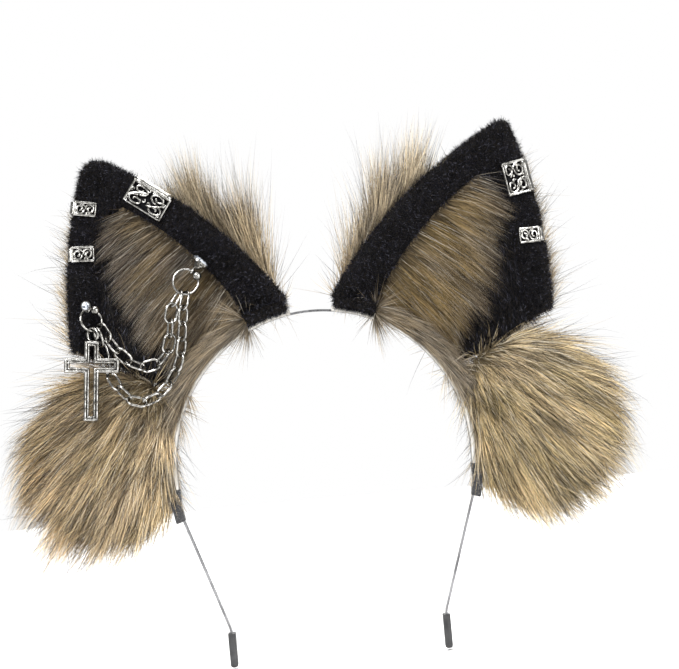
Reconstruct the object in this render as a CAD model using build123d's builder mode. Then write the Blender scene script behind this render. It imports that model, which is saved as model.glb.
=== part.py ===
"""Wolf ear headband: a spring-steel hoop with two furry ears, side fur puffs and silver ear jewellery.

Millimetres. +Z is up, +X is the wearer's left as seen from the front, and the front faces -Y.
The origin is the centre of the hoop's circle. The right-hand (+X) side is modelled and the left one mirrors it.
"""

from build123d import *
from math import cos, pi, radians, sin
import os

# hoop of flat spring steel
HOOP_R = 65.0            # centre line of the band
BAND_T = 1.0             # thickness, across the hoop
BAND_W = 4.0             # width, front to back
HOOP_STRAIGHT = 16.0     # upright run below the half circle
BEND_R = 15.0            # bend where each side turns inwards
LEG_LEAN = 18.3          # inward lean of the legs, degrees
LEG_RUN = 50.0           # straight leg from its pivot to the tip's bend
TIP_BEND_R = 12.0
TIP_RUN = 13.0           # upright end that the cap covers
PIVOT_DROP = 1.9         # from the end of the bend to the pivot that stands for the leg's flexing
PIVOT_GAP = 0.1
CAP_WALL = 1.2
CAP_LENGTH = 15.0
SLEEVE_TOP = -8.0
SLEEVE_WALL = 0.35
SLEEVE_OUT_TOP = 4.8     # how far the sleeve stands out of the band at its top
SLEEVE_OUT_MOUTH = 3.4
SLEEVE_W = 6.4

# fabric wrap on the hoop and the felt foot under each ear
WRAP_OUT_R = 67.0
WRAP_IN_R = 64.6
WRAP_W = 7.0
WRAP_START = 82.0        # degrees up from +X
BASE_OUT_R = 71.0
BASE_START = 30.0
BASE_END = 80.5
BASE_FRONT = -13.5
BASE_BACK = 9.0

# ear, as seen from the front
EAR_LEAN = 24.5          # lean of the ear's height from +Z, degrees
EAR_AXIS_W = 25.75       # where the cup's axis stands across the ear
EAR_BACK_R = 74.0        # back surface of the ear's cup
EAR_BACK_Y = 11.0        # rearmost line of that surface
EAR_TIP = (92.5, 141.0)
EAR_TOE = (103.0, 57.0)  # lowest point of the outer edge
TIP_R_LEFT = 6.5
TIP_R_RIGHT = 1.5
FUR_BACK_T = 2.0
CORE_T = 1.5
LINING_T = 1.5
BORDER_T = 2.5
FLUFF_T = 5.0
WIRE_INSET = 1.2
WIRE_T = 1.5
TUFT_T = 4.0

# side puff
PUFF_X = 92.0
PUFF_Y = 5.0
PUFF_Z = 10.0
PUFF_R = 41.5          # to the sharp rim, before it is rounded
PUFF_HALF_DEPTH = 18.0
PUFF_RIM_R = 6.0
CORE_R = 27.0
CORE_HALF_DEPTH = 10.0
HOOP_CLEAR = 0.3
PUFF_LEG_CLEAR = 71.0

# cuffs clipped over the ears' edges
CUFF_T = 0.8
CUFF_GAP = 0.3
CUFF_OVERHANG = 6.0

# ring, chain and stud sizes
RING_WIRE = 1.0
UPPER_RING_R = 5.55
LOWER_RING_R = 5.2
BEAD_R = 2.0
EYE_R = 1.4
EYE_WIRE = 0.8
POST_R = 0.5
LINK_LENGTH = 9.6
LINK_WIDTH = 6.6
LINK_WIRE = 1.1
LINK_END = 3.05          # from a ring's wire to the centre of the link that hangs on it

# cross pendant
CROSS_H = 34.6
CROSS_ARMS = 23.6
CROSS_BAR = 6.2
CROSS_SLOT = 1.9
CROSS_T = 2.0
CROSS_ARM_DROP = 10.6
LOOP_R = 2.9
LOOP_WIRE = 1.2

os.makedirs("parts", exist_ok=True)


def keep(piece, name):
    """Label a finished piece and write it."""
    piece.label = name
    export_step(piece, f"parts/{name}.step")


def mirrored(piece):
    """The left-hand twin of a right-hand piece."""
    return mirror(piece, about=Plane.YZ)


def on_circle(radius, degrees):
    return (radius * cos(radians(degrees)), radius * sin(radians(degrees)))


# ---------------------------------------------------------------- hoop

lean_dir = Vector(-sin(radians(LEG_LEAN)), -cos(radians(LEG_LEAN)))
bend_end = Vector(
    HOOP_R - BEND_R * (1 - cos(radians(LEG_LEAN))),
    -HOOP_STRAIGHT - BEND_R * sin(radians(LEG_LEAN)),
)
pivot = bend_end + lean_dir * PIVOT_DROP

with BuildLine(Plane.XZ) as half_hoop_line:
    crown_arc = CenterArc((0, 0), HOOP_R, 90, -90)
    upright = Line(crown_arc @ 1, (HOOP_R, -HOOP_STRAIGHT))
    bend = JernArc(upright @ 1, (0, -1), BEND_R, -LEG_LEAN)
    Line(bend @ 1, (pivot.X, pivot.Y))

with BuildPart() as half_crown:
    with BuildSketch(Plane(origin=(0, 0, HOOP_R), x_dir=(0, 1, 0), z_dir=(1, 0, 0))):
        Rectangle(BAND_W, BAND_T)
    sweep(path=half_hoop_line.line)
    with BuildSketch(Plane.XZ):
        with Locations((pivot.X, pivot.Y)):
            Circle(BAND_T / 2 + PIVOT_GAP)
    extrude(amount=BAND_W, both=True, mode=Mode.SUBTRACT)

with BuildPart() as hoop_crown:
    add(half_crown.part)
    mirror(about=Plane.YZ)

keep(hoop_crown.part, "hoop_crown")

with BuildLine(Plane.XZ) as leg_line:
    leg_run = Line((pivot.X, pivot.Y), tuple(pivot + lean_dir * LEG_RUN)[:2])
    tip_bend = JernArc(leg_run @ 1, tuple(lean_dir)[:2], TIP_BEND_R, LEG_LEAN)
    tip_run = Line(tip_bend @ 1, tip_bend @ 1 + Vector(0, 0, -TIP_RUN))

leg_foot = tip_run @ 1

with BuildPart() as leg:
    with BuildSketch(Plane(origin=(pivot.X, 0, pivot.Y), x_dir=(0, 1, 0), z_dir=leg_run % 0)):
        Rectangle(BAND_W, BAND_T)
    sweep(path=leg_line.line)
    with BuildSketch(Plane.XZ):
        with Locations((pivot.X, pivot.Y)):
            Circle(BAND_T / 2)
    extrude(amount=BAND_W / 2, both=True)

keep(leg.part, "leg_right")
keep(mirrored(leg.part), "leg_left")

with BuildPart() as tip_cap:
    with BuildSketch(Plane.XY.offset(leg_foot.Z - CAP_WALL)):
        with Locations((leg_foot.X, 0)):
            RectangleRounded(BAND_T + 2 * CAP_WALL, BAND_W + 2 * CAP_WALL, CAP_WALL * 1.2)
    extrude(amount=CAP_LENGTH)
    fillet(tip_cap.faces().sort_by(Axis.Z)[0].edges(), CAP_WALL)
    fillet(tip_cap.faces().sort_by(Axis.Z)[-1].edges(), CAP_WALL / 3)
    add(leg.part, mode=Mode.SUBTRACT)

keep(tip_cap.part, "tip_cap_right")
keep(mirrored(tip_cap.part), "tip_cap_left")

mouth = pivot - lean_dir * (BAND_T / 2)
mouth_side = Vector(-lean_dir.Y, lean_dir.X)

with BuildPart() as shrink_sleeve:
    with BuildSketch(Plane.XZ):
        with BuildLine():
            Polyline(
                (HOOP_R - BAND_T / 2 - SLEEVE_WALL, SLEEVE_TOP),
                (HOOP_R + SLEEVE_OUT_TOP, SLEEVE_TOP),
                tuple(mouth + mouth_side * SLEEVE_OUT_MOUTH)[:2],
                tuple(mouth - mouth_side * (BAND_T / 2 + SLEEVE_WALL))[:2],
                (HOOP_R - BAND_T / 2 - SLEEVE_WALL, -HOOP_STRAIGHT),
                close=True,
            )
        make_face()
    extrude(amount=SLEEVE_W / 2, both=True)
    outer_edges = shrink_sleeve.edges().filter_by(Axis.Y).sort_by(Axis.X)[-2:]
    fillet(outer_edges, 0.8)
    add(half_crown.part, mode=Mode.SUBTRACT)

keep(shrink_sleeve.part, "shrink_sleeve_right")
keep(mirrored(shrink_sleeve.part), "shrink_sleeve_left")


def ring_sector(r_in, r_out, start, end):
    """Sketch outline between two radii and two angles, in the hoop's plane."""
    with BuildSketch(Plane.XZ) as sector:
        with BuildLine():
            inner = CenterArc((0, 0), r_in, start, end - start)
            outer = CenterArc((0, 0), r_out, start, end - start)
            Line(inner @ 0, outer @ 0)
            Line(inner @ 1, outer @ 1)
        make_face()
    return sector.sketch


with BuildPart() as hoop_wrap:
    extrude(ring_sector(WRAP_IN_R, WRAP_OUT_R, 0, WRAP_START), amount=WRAP_W / 2, both=True)
    with BuildSketch(Plane.XZ):
        with Locations(((WRAP_IN_R + WRAP_OUT_R) / 2, SLEEVE_TOP / 2)):
            Rectangle(WRAP_OUT_R - WRAP_IN_R, -SLEEVE_TOP)
    extrude(amount=WRAP_W / 2, both=True)
    add(half_crown.part, mode=Mode.SUBTRACT)

keep(hoop_wrap.part, "hoop_wrap_right")
keep(mirrored(hoop_wrap.part), "hoop_wrap_left")

with BuildPart() as ear_base:
    extrude(ring_sector(WRAP_OUT_R, BASE_OUT_R, BASE_START, BASE_END), amount=-BASE_FRONT)
    extrude(ring_sector(WRAP_OUT_R, BASE_OUT_R, BASE_START, BASE_END), amount=-BASE_BACK)

keep(ear_base.part, "ear_base_right")
keep(mirrored(ear_base.part), "ear_base_left")

# ---------------------------------------------------------------- ears

EAR_UP = Vector(sin(radians(EAR_LEAN)), 0, cos(radians(EAR_LEAN)))
EAR_ACROSS = Vector(cos(radians(EAR_LEAN)), 0, -sin(radians(EAR_LEAN)))
CUP_AXIS_Y = EAR_BACK_Y - EAR_BACK_R
cup_section = Plane(
    origin=EAR_ACROSS * EAR_AXIS_W + Vector(0, CUP_AXIS_Y, 0),
    x_dir=EAR_ACROSS,
    z_dir=EAR_UP,
)
CUP_TALL = 190.0
EAR_DEEP = 30.0

ear_heel = on_circle(BASE_OUT_R, 80.5)
ear_hem_end = on_circle(BASE_OUT_R, BASE_START)
inner_foot = on_circle(BASE_OUT_R, 66.5)


def ear_outline(tip_radius, inset=0.0):
    """The ear's pattern seen from the front, with its base on the felt foot."""
    with BuildSketch(Plane.XZ) as outline:
        with BuildLine():
            ThreePointArc(ear_heel, (46.0, 109.3), EAR_TIP)
            ThreePointArc(EAR_TIP, (102.0, 100.0), EAR_TOE)
            Line(EAR_TOE, ear_hem_end)
            ThreePointArc(ear_hem_end, on_circle(BASE_OUT_R, 55), ear_heel)
        make_face()
        tip = outline.vertices().sort_by(Axis.Y)[-1]
        fillet(tip, tip_radius)
        toe = outline.vertices().sort_by(Axis.X)[-1]
        fillet(toe, 4)
        if inset:
            offset(amount=-inset, mode=Mode.REPLACE)
    return outline.sketch


def inner_opening():
    """The part of the ear's inside that the plush border leaves open."""
    with BuildSketch(Plane.XZ) as opening:
        with BuildLine():
            ThreePointArc(inner_foot, (54.8, 99.7), (80.5, 119.5))
            Line((80.5, 119.5), (91.5, 104.0))
            Line((91.5, 104.0), (94.5, 52.55))
            Line((94.5, 52.55), ear_hem_end)
            ThreePointArc(ear_hem_end, on_circle(BASE_OUT_R, 50), inner_foot)
        make_face()
        corners = opening.vertices().sort_by(Axis.Y)[-2:]
        fillet(corners, 5)
    return opening.sketch


def fluff_outline():
    """Where the long inner fluff is sewn: from the medial border down to the foot."""
    with BuildSketch(Plane.XZ) as outline:
        with BuildLine():
            ThreePointArc(inner_foot, (54.8, 99.7), (80.0, 119.1))
            Line((80.0, 119.1), (85.0, 100.0))
            ThreePointArc((85.0, 100.0), (80.0, 72.0), (66.0, 37.7))
            Line((66.0, 37.7), ear_hem_end)
            ThreePointArc(ear_hem_end, on_circle(BASE_OUT_R, 50), inner_foot)
        make_face()
    return outline.sketch


def cup_layer(pattern, r_back, r_front):
    """One layer of the cupped ear: a flat pattern taken out of the wall between two coaxial cylinders."""
    with BuildPart() as layer:
        extrude(pattern, amount=EAR_DEEP, both=True)
        with BuildSketch(cup_section):
            Circle(r_back)
        extrude(amount=CUP_TALL, mode=Mode.INTERSECT)
        with BuildSketch(cup_section):
            Circle(r_front)
        extrude(amount=CUP_TALL, mode=Mode.SUBTRACT)
    return layer.part


def edge_patch(point, direction, length, depth):
    """Rectangle over the ear's edge at a point, its length along a direction given in degrees."""
    frame = Plane(
        origin=(point[0], 0, point[1]),
        x_dir=(cos(radians(direction)), 0, sin(radians(direction))),
        z_dir=(0, -1, 0),
    )
    with BuildSketch(frame) as patch:
        with Locations((0, CUFF_OVERHANG / 2 - depth / 2)):
            Rectangle(length, depth + CUFF_OVERHANG)
    return patch.sketch


def cuff(point, direction, length, depth, tip_radius):
    """A C-shaped cuff that hugs the ear's edge at a point."""
    rim_space = cup_layer(
        ear_outline(tip_radius, -CUFF_GAP), EAR_BACK_R + CUFF_GAP, R_RIM - CUFF_GAP
    )
    plan = edge_patch(point, direction, length, depth) & ear_outline(tip_radius, -CUFF_GAP - CUFF_T)
    shell = cup_layer(plan, EAR_BACK_R + CUFF_GAP + CUFF_T, R_RIM - CUFF_GAP - CUFF_T)
    with BuildPart() as clip:
        add(shell)
        add(rim_space, mode=Mode.SUBTRACT)
    return clip.part


R_CORE = EAR_BACK_R - FUR_BACK_T
R_LINING = R_CORE - CORE_T
R_BORDER = R_LINING - LINING_T
R_RIM = R_BORDER - BORDER_T
R_FLUFF = R_BORDER - FLUFF_T


def ear_layers(tip_radius):
    """The sewn layers of one ear, from back to front, in right-hand position."""
    outline = ear_outline(tip_radius)
    wire_outer = ear_outline(tip_radius, WIRE_INSET)
    wire_inner = ear_outline(tip_radius, WIRE_INSET + WIRE_T)
    opening = inner_opening()
    return {
        "ear_back_fur": cup_layer(outline, EAR_BACK_R, R_CORE),
        "ear_wire": cup_layer(wire_outer - wire_inner, R_CORE, R_LINING),
        "ear_core": cup_layer(wire_inner, R_CORE, R_LINING),
        "ear_lining": cup_layer(outline, R_LINING, R_BORDER),
        "ear_border": cup_layer(outline - opening, R_BORDER, R_RIM),
        "ear_fluff": cup_layer(fluff_outline() & opening, R_BORDER, R_FLUFF),
        "ear_back_tuft": cup_layer(tuft_outline(), EAR_BACK_R + TUFT_T, EAR_BACK_R),
    }


def tuft_outline():
    """The long tuft behind the inner edge, standing out past it."""
    with BuildSketch(Plane.XZ) as outline:
        with BuildLine():
            Spline((14.0, 72.0), (21.0, 92.0), (38.0, 112.0))
            Line((38.0, 112.0), (50.0, 106.0))
            Spline((50.0, 106.0), (36.0, 88.0), (28.0, 70.0))
            Line((28.0, 70.0), (14.0, 72.0))
        make_face()
    return outline.sketch


# stud seats on the left ear, in right-hand position before mirroring
UPPER_POST = (46.7, 89.8)
LOWER_POST = (96.0, 76.6)

right_layers = ear_layers(TIP_R_RIGHT)
for layer_name, layer in right_layers.items():
    keep(layer, f"{layer_name}_right")

with BuildPart() as post_holes:
    with BuildSketch(Plane.XZ):
        with Locations(UPPER_POST, LOWER_POST):
            Circle(POST_R)
    extrude(amount=EAR_DEEP, both=True)

for layer_name, layer in ear_layers(TIP_R_LEFT).items():
    with BuildPart() as left_layer:
        add(layer)
        add(post_holes.part, mode=Mode.SUBTRACT)
    keep(mirrored(left_layer.part), f"{layer_name}_left")

keep(mirrored(cuff((64.2, 124.3), 37.0, 18.3, 10.2, TIP_R_LEFT)), "cuff_large_left")
keep(mirrored(cuff((99.4, 119.5), -80.0, 5.5, 9.0, TIP_R_LEFT)), "cuff_small_upper_left")
keep(mirrored(cuff((101.9, 99.0), -88.0, 6.0, 9.0, TIP_R_LEFT)), "cuff_small_lower_left")
keep(cuff((99.8, 116.0), -81.0, 14.0, 9.0, TIP_R_RIGHT), "cuff_large_right")
keep(cuff((102.6, 89.5), -90.0, 6.0, 8.0, TIP_R_RIGHT), "cuff_small_right")

# ---------------------------------------------------------------- side puffs

hem_dir = (Vector(*EAR_TOE) - Vector(*ear_hem_end)).normalized()

with BuildSketch(Plane.XZ) as puff_limits:
    Circle(WRAP_OUT_R + HOOP_CLEAR)
    with BuildLine():
        low_end = Vector(*ear_hem_end) - hem_dir * 60
        high_end = Vector(*EAR_TOE) + hem_dir * 60
        Polyline(
            tuple(low_end)[:2],
            tuple(high_end)[:2],
            (high_end.X, high_end.Y + 80),
            (low_end.X, high_end.Y + 80),
            close=True,
        )
    make_face()
    with Locations((0, -PUFF_R)):
        Rectangle(2 * PUFF_LEG_CLEAR, 2 * PUFF_R)


def puff_body(radius, half_depth, rim_radius):
    """A round cushion, cut back to clear the hoop, the leg and the ear above it."""
    crown_r = (radius**2 + half_depth**2) / (2 * half_depth)
    with BuildPart() as cushion:
        with Locations((PUFF_X, PUFF_Y + crown_r - half_depth, PUFF_Z)):
            Sphere(crown_r)
        with Locations((PUFF_X, PUFF_Y - crown_r + half_depth, PUFF_Z)):
            Sphere(crown_r, mode=Mode.INTERSECT)
        fillet(cushion.edges().filter_by(GeomType.CIRCLE), rim_radius)
        extrude(puff_limits.sketch, amount=EAR_DEEP, both=True, mode=Mode.SUBTRACT)
    return cushion.part


puff_core = puff_body(CORE_R, CORE_HALF_DEPTH, 3)

with BuildPart() as puff_fur:
    add(puff_body(PUFF_R, PUFF_HALF_DEPTH, PUFF_RIM_R))
    add(puff_core, mode=Mode.SUBTRACT)

keep(puff_core, "puff_core_right")
keep(mirrored(puff_core), "puff_core_left")
keep(puff_fur.part, "puff_fur_right")
keep(mirrored(puff_fur.part), "puff_fur_left")

# ---------------------------------------------------------------- rings and studs


def hanging_plane(centre, yaw, pitch):
    """Plane of a hanging ring: turned by yaw from facing the front, its lower side pitched forwards."""
    across = Vector(cos(radians(yaw)), sin(radians(yaw)), 0)
    facing = Vector(sin(radians(yaw)), -cos(radians(yaw)), 0)
    normal = facing * cos(radians(pitch)) + Vector(0, 0, sin(radians(pitch)))
    return Plane(origin=centre, x_dir=across, z_dir=normal)


def on_ring(plane, radius, degrees):
    """Point on a ring's centre line."""
    return plane.from_local_coords(Vector(*on_circle(radius, degrees), 0))


def along_ring(plane, degrees):
    """Direction of a ring's wire at an angle."""
    return (on_ring(plane, 1, degrees + 90) - plane.origin).normalized()


upper_plane = hanging_plane((-53.1, -8.0, 82.5), 0, 8)
lower_plane = hanging_plane((-95.1, -11.5, 69.5), 37.7, 16)
UPPER_EYE_AT = 52.0
LOWER_EYE_AT = 98.0
upper_eye = on_ring(upper_plane, UPPER_RING_R, UPPER_EYE_AT)
lower_eye = on_ring(lower_plane, LOWER_RING_R, LOWER_EYE_AT)


def wire_ring(plane, radius, wire):
    with BuildPart(plane) as ring:
        Torus(radius, wire / 2)
    return ring.part


upper_ring = wire_ring(upper_plane, UPPER_RING_R, RING_WIRE)
lower_ring = wire_ring(lower_plane, LOWER_RING_R, RING_WIRE)
keep(upper_ring, "upper_ring")
keep(lower_ring, "lower_ring")


def captive_bead(ring, plane, radius, degrees):
    """A ball threaded on a ring's wire."""
    centre = on_ring(plane, radius, degrees)
    with BuildPart() as bead:
        with Locations(Plane(centre, x_dir=centre - plane.origin, z_dir=plane.z_dir)):
            Sphere(BEAD_R)
        add(ring, mode=Mode.SUBTRACT)
    return bead.part


keep(captive_bead(upper_ring, upper_plane, UPPER_RING_R, 22), "upper_bead")
keep(captive_bead(lower_ring, lower_plane, LOWER_RING_R, 56), "lower_bead")

# the upper stud shows its flared bezel from the side; the lower one faces the front
BEZEL_TURN = 45.0
BEZEL_START = 1.5
BEZEL_FLARE = 3.3
BEZEL_LIP = 0.9
BEZEL_WIDE_R = 4.45
BEZEL_NECK_R = 0.9
bezel_dir = Vector(cos(radians(BEZEL_TURN)), 0, sin(radians(BEZEL_TURN)))
bezel_plane = Plane(
    origin=upper_eye + bezel_dir * BEZEL_START, x_dir=(0, 1, 0), z_dir=bezel_dir
)
STUD_BACK_Y = 15.0

with BuildPart() as upper_gem:
    with BuildSketch(Plane(origin=bezel_plane.origin, x_dir=bezel_dir, z_dir=(0, -1, 0))):
        with BuildLine():
            Polyline(
                (1.0, 0),
                (BEZEL_FLARE, BEZEL_WIDE_R - 1.3),
                (BEZEL_FLARE + BEZEL_LIP, BEZEL_WIDE_R - 0.6),
                (BEZEL_FLARE + BEZEL_LIP + 1.0, BEZEL_WIDE_R - 1.9),
                (BEZEL_FLARE + BEZEL_LIP + 1.0, 0),
                close=True,
            )
        make_face()
    revolve(axis=Axis(bezel_plane.origin, bezel_dir))

with BuildPart() as upper_stud:
    with BuildSketch(Plane(origin=bezel_plane.origin, x_dir=bezel_dir, z_dir=(0, -1, 0))):
        with BuildLine():
            Polyline(
                (0, 0),
                (0, BEZEL_NECK_R),
                (BEZEL_FLARE, BEZEL_WIDE_R),
                (BEZEL_FLARE + BEZEL_LIP, BEZEL_WIDE_R),
                (BEZEL_FLARE + BEZEL_LIP, 0),
                close=True,
            )
        make_face()
    revolve(axis=Axis(bezel_plane.origin, bezel_dir))
    add(wire_ring(Plane(upper_eye, z_dir=along_ring(upper_plane, UPPER_EYE_AT)), EYE_R, EYE_WIRE))
    with BuildSketch(Plane.XZ.offset(-STUD_BACK_Y)):
        with Locations((-UPPER_POST[0], UPPER_POST[1])):
            Circle(POST_R)
    extrude(amount=STUD_BACK_Y - upper_eye.Y)
    add(upper_gem.part, mode=Mode.SUBTRACT)

keep(upper_gem.part, "upper_gem")
keep(upper_stud.part, "upper_stud")

LOWER_CUP_R = 2.1
LOWER_CUP_DEPTH = 2.2
LOWER_CUP_RISE = 1.3
LOWER_CUP_AHEAD = 2.4
cup_centre = (lower_eye.X, lower_eye.Z + LOWER_CUP_RISE)
cup_back = -lower_eye.Y + LOWER_CUP_AHEAD

with BuildPart() as lower_gem:
    with BuildSketch(Plane.XZ.offset(cup_back + 0.8)):
        with Locations(cup_centre):
            Circle(LOWER_CUP_R - 0.4)
    extrude(amount=LOWER_CUP_DEPTH)
    fillet(lower_gem.faces().sort_by(Axis.Y)[0].edges(), 0.8)

with BuildPart() as lower_stud:
    with BuildSketch(Plane.XZ.offset(cup_back)):
        with Locations(cup_centre):
            Circle(LOWER_CUP_R)
    extrude(amount=LOWER_CUP_DEPTH)
    add(wire_ring(Plane(lower_eye, z_dir=along_ring(lower_plane, LOWER_EYE_AT)), EYE_R, EYE_WIRE))
    with BuildSketch(Plane.XZ.offset(-STUD_BACK_Y)):
        with Locations((-LOWER_POST[0], LOWER_POST[1])):
            Circle(POST_R)
    extrude(amount=STUD_BACK_Y + cup_back + 0.4)
    add(lower_gem.part, mode=Mode.SUBTRACT)

keep(lower_gem.part, "lower_gem")
keep(lower_stud.part, "lower_stud")


def clutch(post):
    """Small round back that holds a stud's post behind the ear."""
    with BuildPart() as nut:
        with BuildSketch(Plane.XZ.offset(-STUD_BACK_Y + 1.4)):
            with Locations((-post[0], post[1])):
                Circle(2.5)
                Circle(POST_R, mode=Mode.SUBTRACT)
        extrude(amount=1.2)
    return nut.part


keep(clutch(UPPER_POST), "upper_clutch")
keep(clutch(LOWER_POST), "lower_clutch")

# ---------------------------------------------------------------- chain

STRAIGHT = LINK_LENGTH - LINK_WIDTH
LINK_R = (LINK_WIDTH - LINK_WIRE) / 2

with BuildLine(Plane.XY) as link_line:
    side_1 = Line((-STRAIGHT / 2, -LINK_R), (STRAIGHT / 2, -LINK_R))
    end_1 = JernArc(side_1 @ 1, (1, 0), LINK_R, 180)
    side_2 = Line(end_1 @ 1, (-STRAIGHT / 2, LINK_R))
    JernArc(side_2 @ 1, (-1, 0), LINK_R, 180)

with BuildPart() as link:
    with BuildSketch(Plane(origin=link_line.line @ 0, z_dir=link_line.line % 0)):
        Circle(LINK_WIRE / 2)
    sweep(path=link_line.line)

FRONT = Vector(0, -1, 0)


def chain_strand(first, through, last, links, rolls):
    """Links hung in a row from one ring's wire to another's, turned by each of two rolls in turn."""
    hang = Spline(first, *[Vector(*point) for point in through], last)
    step = (hang.length - 2 * LINK_END) / (links - 1)
    with BuildPart() as strand:
        for count in range(links):
            middle = LINK_END + count * step
            reach = min(LINK_LENGTH / 2, middle)
            back = hang.position_at(middle - reach, PositionMode.LENGTH)
            ahead = hang.position_at(min(hang.length, middle + reach), PositionMode.LENGTH)
            lengthwise = (ahead - back).normalized()
            flat = Plane(
                origin=hang.position_at(middle, PositionMode.LENGTH),
                x_dir=lengthwise,
                z_dir=lengthwise.cross(FRONT).cross(lengthwise),
            )
            add(flat.location * Rotation(rolls[count % 2], 0, 0) * link.part)
    return strand.part


chain_short = chain_strand(
    on_ring(upper_plane, UPPER_RING_R, -118),
    ((-61.3, -9.9, 64.4), (-64.8, -9.0, 51.6), (-73.7, -8.0, 47.2), (-85.5, -11.2, 56.0)),
    on_ring(lower_plane, LOWER_RING_R, -44),
    10,
    (64.6, -32.4),
)
keep(chain_short, "chain_short")

chain_long = chain_strand(
    on_ring(upper_plane, UPPER_RING_R, -94),
    (
        (-56.2, -11.9, 61.0),
        (-61.9, -10.4, 42.1),
        (-77.0, -12.8, 32.1),
        (-86.9, -11.8, 40.8),
        (-91.1, -11.0, 53.8),
    ),
    on_ring(lower_plane, LOWER_RING_R, -77),
    14,
    (51.5, -55.1),
)
keep(chain_long, "chain_long")

# ---------------------------------------------------------------- cross pendant

CROSS_TILT = -5.2        # the pendant hangs this far from the hoop's upright, degrees
CROSS_LEAN = 6.0         # its foot leans forwards by this
CROSS_AHEAD = 1.2        # the pendant's plane stands this far in front of its loop's centre
LOOP_YAW = -35.0
LOOP_HANG = RING_WIRE / 2 + LOOP_WIRE / 2 + 0.2
ring_foot = on_ring(lower_plane, LOWER_RING_R, -100)
loop_centre = ring_foot + Vector(0, 0, LOOP_HANG - LOOP_R)
loop_plane = hanging_plane(loop_centre, LOOP_YAW, 0)
cross_plane = Plane(hanging_plane(loop_centre, 0, CROSS_LEAN).location * Rotation(0, 0, CROSS_TILT))
pendant_plane = cross_plane.offset(CROSS_AHEAD)

with BuildPart() as cross_pendant:
    with BuildSketch(pendant_plane):
        with Locations((0, -LOOP_R - CROSS_H / 2)):
            Rectangle(CROSS_BAR, CROSS_H)
        with Locations((0, -LOOP_R - CROSS_ARM_DROP)):
            Rectangle(CROSS_ARMS, CROSS_BAR)
    extrude(amount=CROSS_T / 2, both=True)
    with BuildSketch(pendant_plane):
        with Locations((0, -LOOP_R - CROSS_H / 2)):
            Rectangle(CROSS_SLOT, CROSS_H - CROSS_BAR + CROSS_SLOT)
        with Locations((0, -LOOP_R - CROSS_ARM_DROP)):
            Rectangle(CROSS_ARMS - CROSS_BAR + CROSS_SLOT, CROSS_SLOT)
    extrude(amount=CROSS_T, both=True, mode=Mode.SUBTRACT)
    add(wire_ring(loop_plane, LOOP_R, LOOP_WIRE))

keep(cross_pendant.part, "cross_pendant")
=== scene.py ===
"""Looks of the wolf ear headband: fur, plush, silver jewellery and the spring-steel hoop.

Lengths are written in millimetres and turned into metres where a mesh is made. The right-hand (+X) side is
shaped first, and the left one is its mirror image with its own tip, colours and hair.
"""

from math import atan2, cos, pi, radians, sin

import bmesh
import bpy
import numpy as np
from mathutils import Matrix, Vector


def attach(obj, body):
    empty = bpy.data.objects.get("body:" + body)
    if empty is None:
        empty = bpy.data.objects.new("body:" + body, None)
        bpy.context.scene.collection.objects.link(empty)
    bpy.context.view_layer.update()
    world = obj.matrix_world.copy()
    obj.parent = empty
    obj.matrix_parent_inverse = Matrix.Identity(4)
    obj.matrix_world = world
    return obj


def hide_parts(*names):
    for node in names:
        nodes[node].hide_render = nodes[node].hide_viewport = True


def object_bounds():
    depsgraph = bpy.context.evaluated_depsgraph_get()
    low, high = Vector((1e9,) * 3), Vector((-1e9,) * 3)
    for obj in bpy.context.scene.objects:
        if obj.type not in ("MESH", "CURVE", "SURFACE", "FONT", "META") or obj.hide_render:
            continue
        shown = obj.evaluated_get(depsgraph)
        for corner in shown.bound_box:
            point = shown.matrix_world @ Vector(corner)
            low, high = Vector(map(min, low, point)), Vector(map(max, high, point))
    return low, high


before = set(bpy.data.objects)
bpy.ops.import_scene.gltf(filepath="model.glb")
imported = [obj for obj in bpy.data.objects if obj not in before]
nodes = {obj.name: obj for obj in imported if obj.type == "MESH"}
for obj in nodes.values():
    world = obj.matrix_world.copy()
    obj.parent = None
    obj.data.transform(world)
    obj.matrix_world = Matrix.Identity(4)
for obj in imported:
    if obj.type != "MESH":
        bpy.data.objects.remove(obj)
cad_low, cad_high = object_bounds()

MM = 0.001
SIDES = {"right": 1, "left": -1}

# ---------------------------------------------------------------- camera, light and stage

CAMERA_AWAY = 0.9
VIEW_WIDTH = 0.2988            # what the picture's width takes in at the hoop
VIEW_CENTRE = (0.0117, 0.0535)
VIEW_ROLL = 5.2                # degrees that the object is turned anticlockwise
SENSOR = 36.0


def make_camera():
    data = bpy.data.cameras.new("front_camera")
    data.sensor_width = SENSOR
    data.lens = SENSOR * CAMERA_AWAY / VIEW_WIDTH
    data.clip_end = 10.0
    camera = bpy.data.objects.new("front_camera", data)
    bpy.context.collection.objects.link(camera)
    roll = radians(VIEW_ROLL)
    right = Vector((cos(roll), 0.0, -sin(roll)))
    up = Vector((sin(roll), 0.0, cos(roll)))
    back = Vector((0.0, -1.0, 0.0))
    turn = Matrix((right, up, back)).transposed().to_4x4()
    camera.matrix_world = Matrix.Translation((VIEW_CENTRE[0], -CAMERA_AWAY, VIEW_CENTRE[1])) @ turn
    bpy.context.scene.camera = camera


def area_light(name, place, target, size, power):
    data = bpy.data.lights.new(name, "AREA")
    data.shape = "DISK"
    data.size = size
    data.energy = power
    lamp = bpy.data.objects.new(name, data)
    lamp.location = place
    lamp.rotation_euler = (Vector(target) - Vector(place)).to_track_quat("-Z", "Y").to_euler()
    bpy.context.collection.objects.link(lamp)


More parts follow.
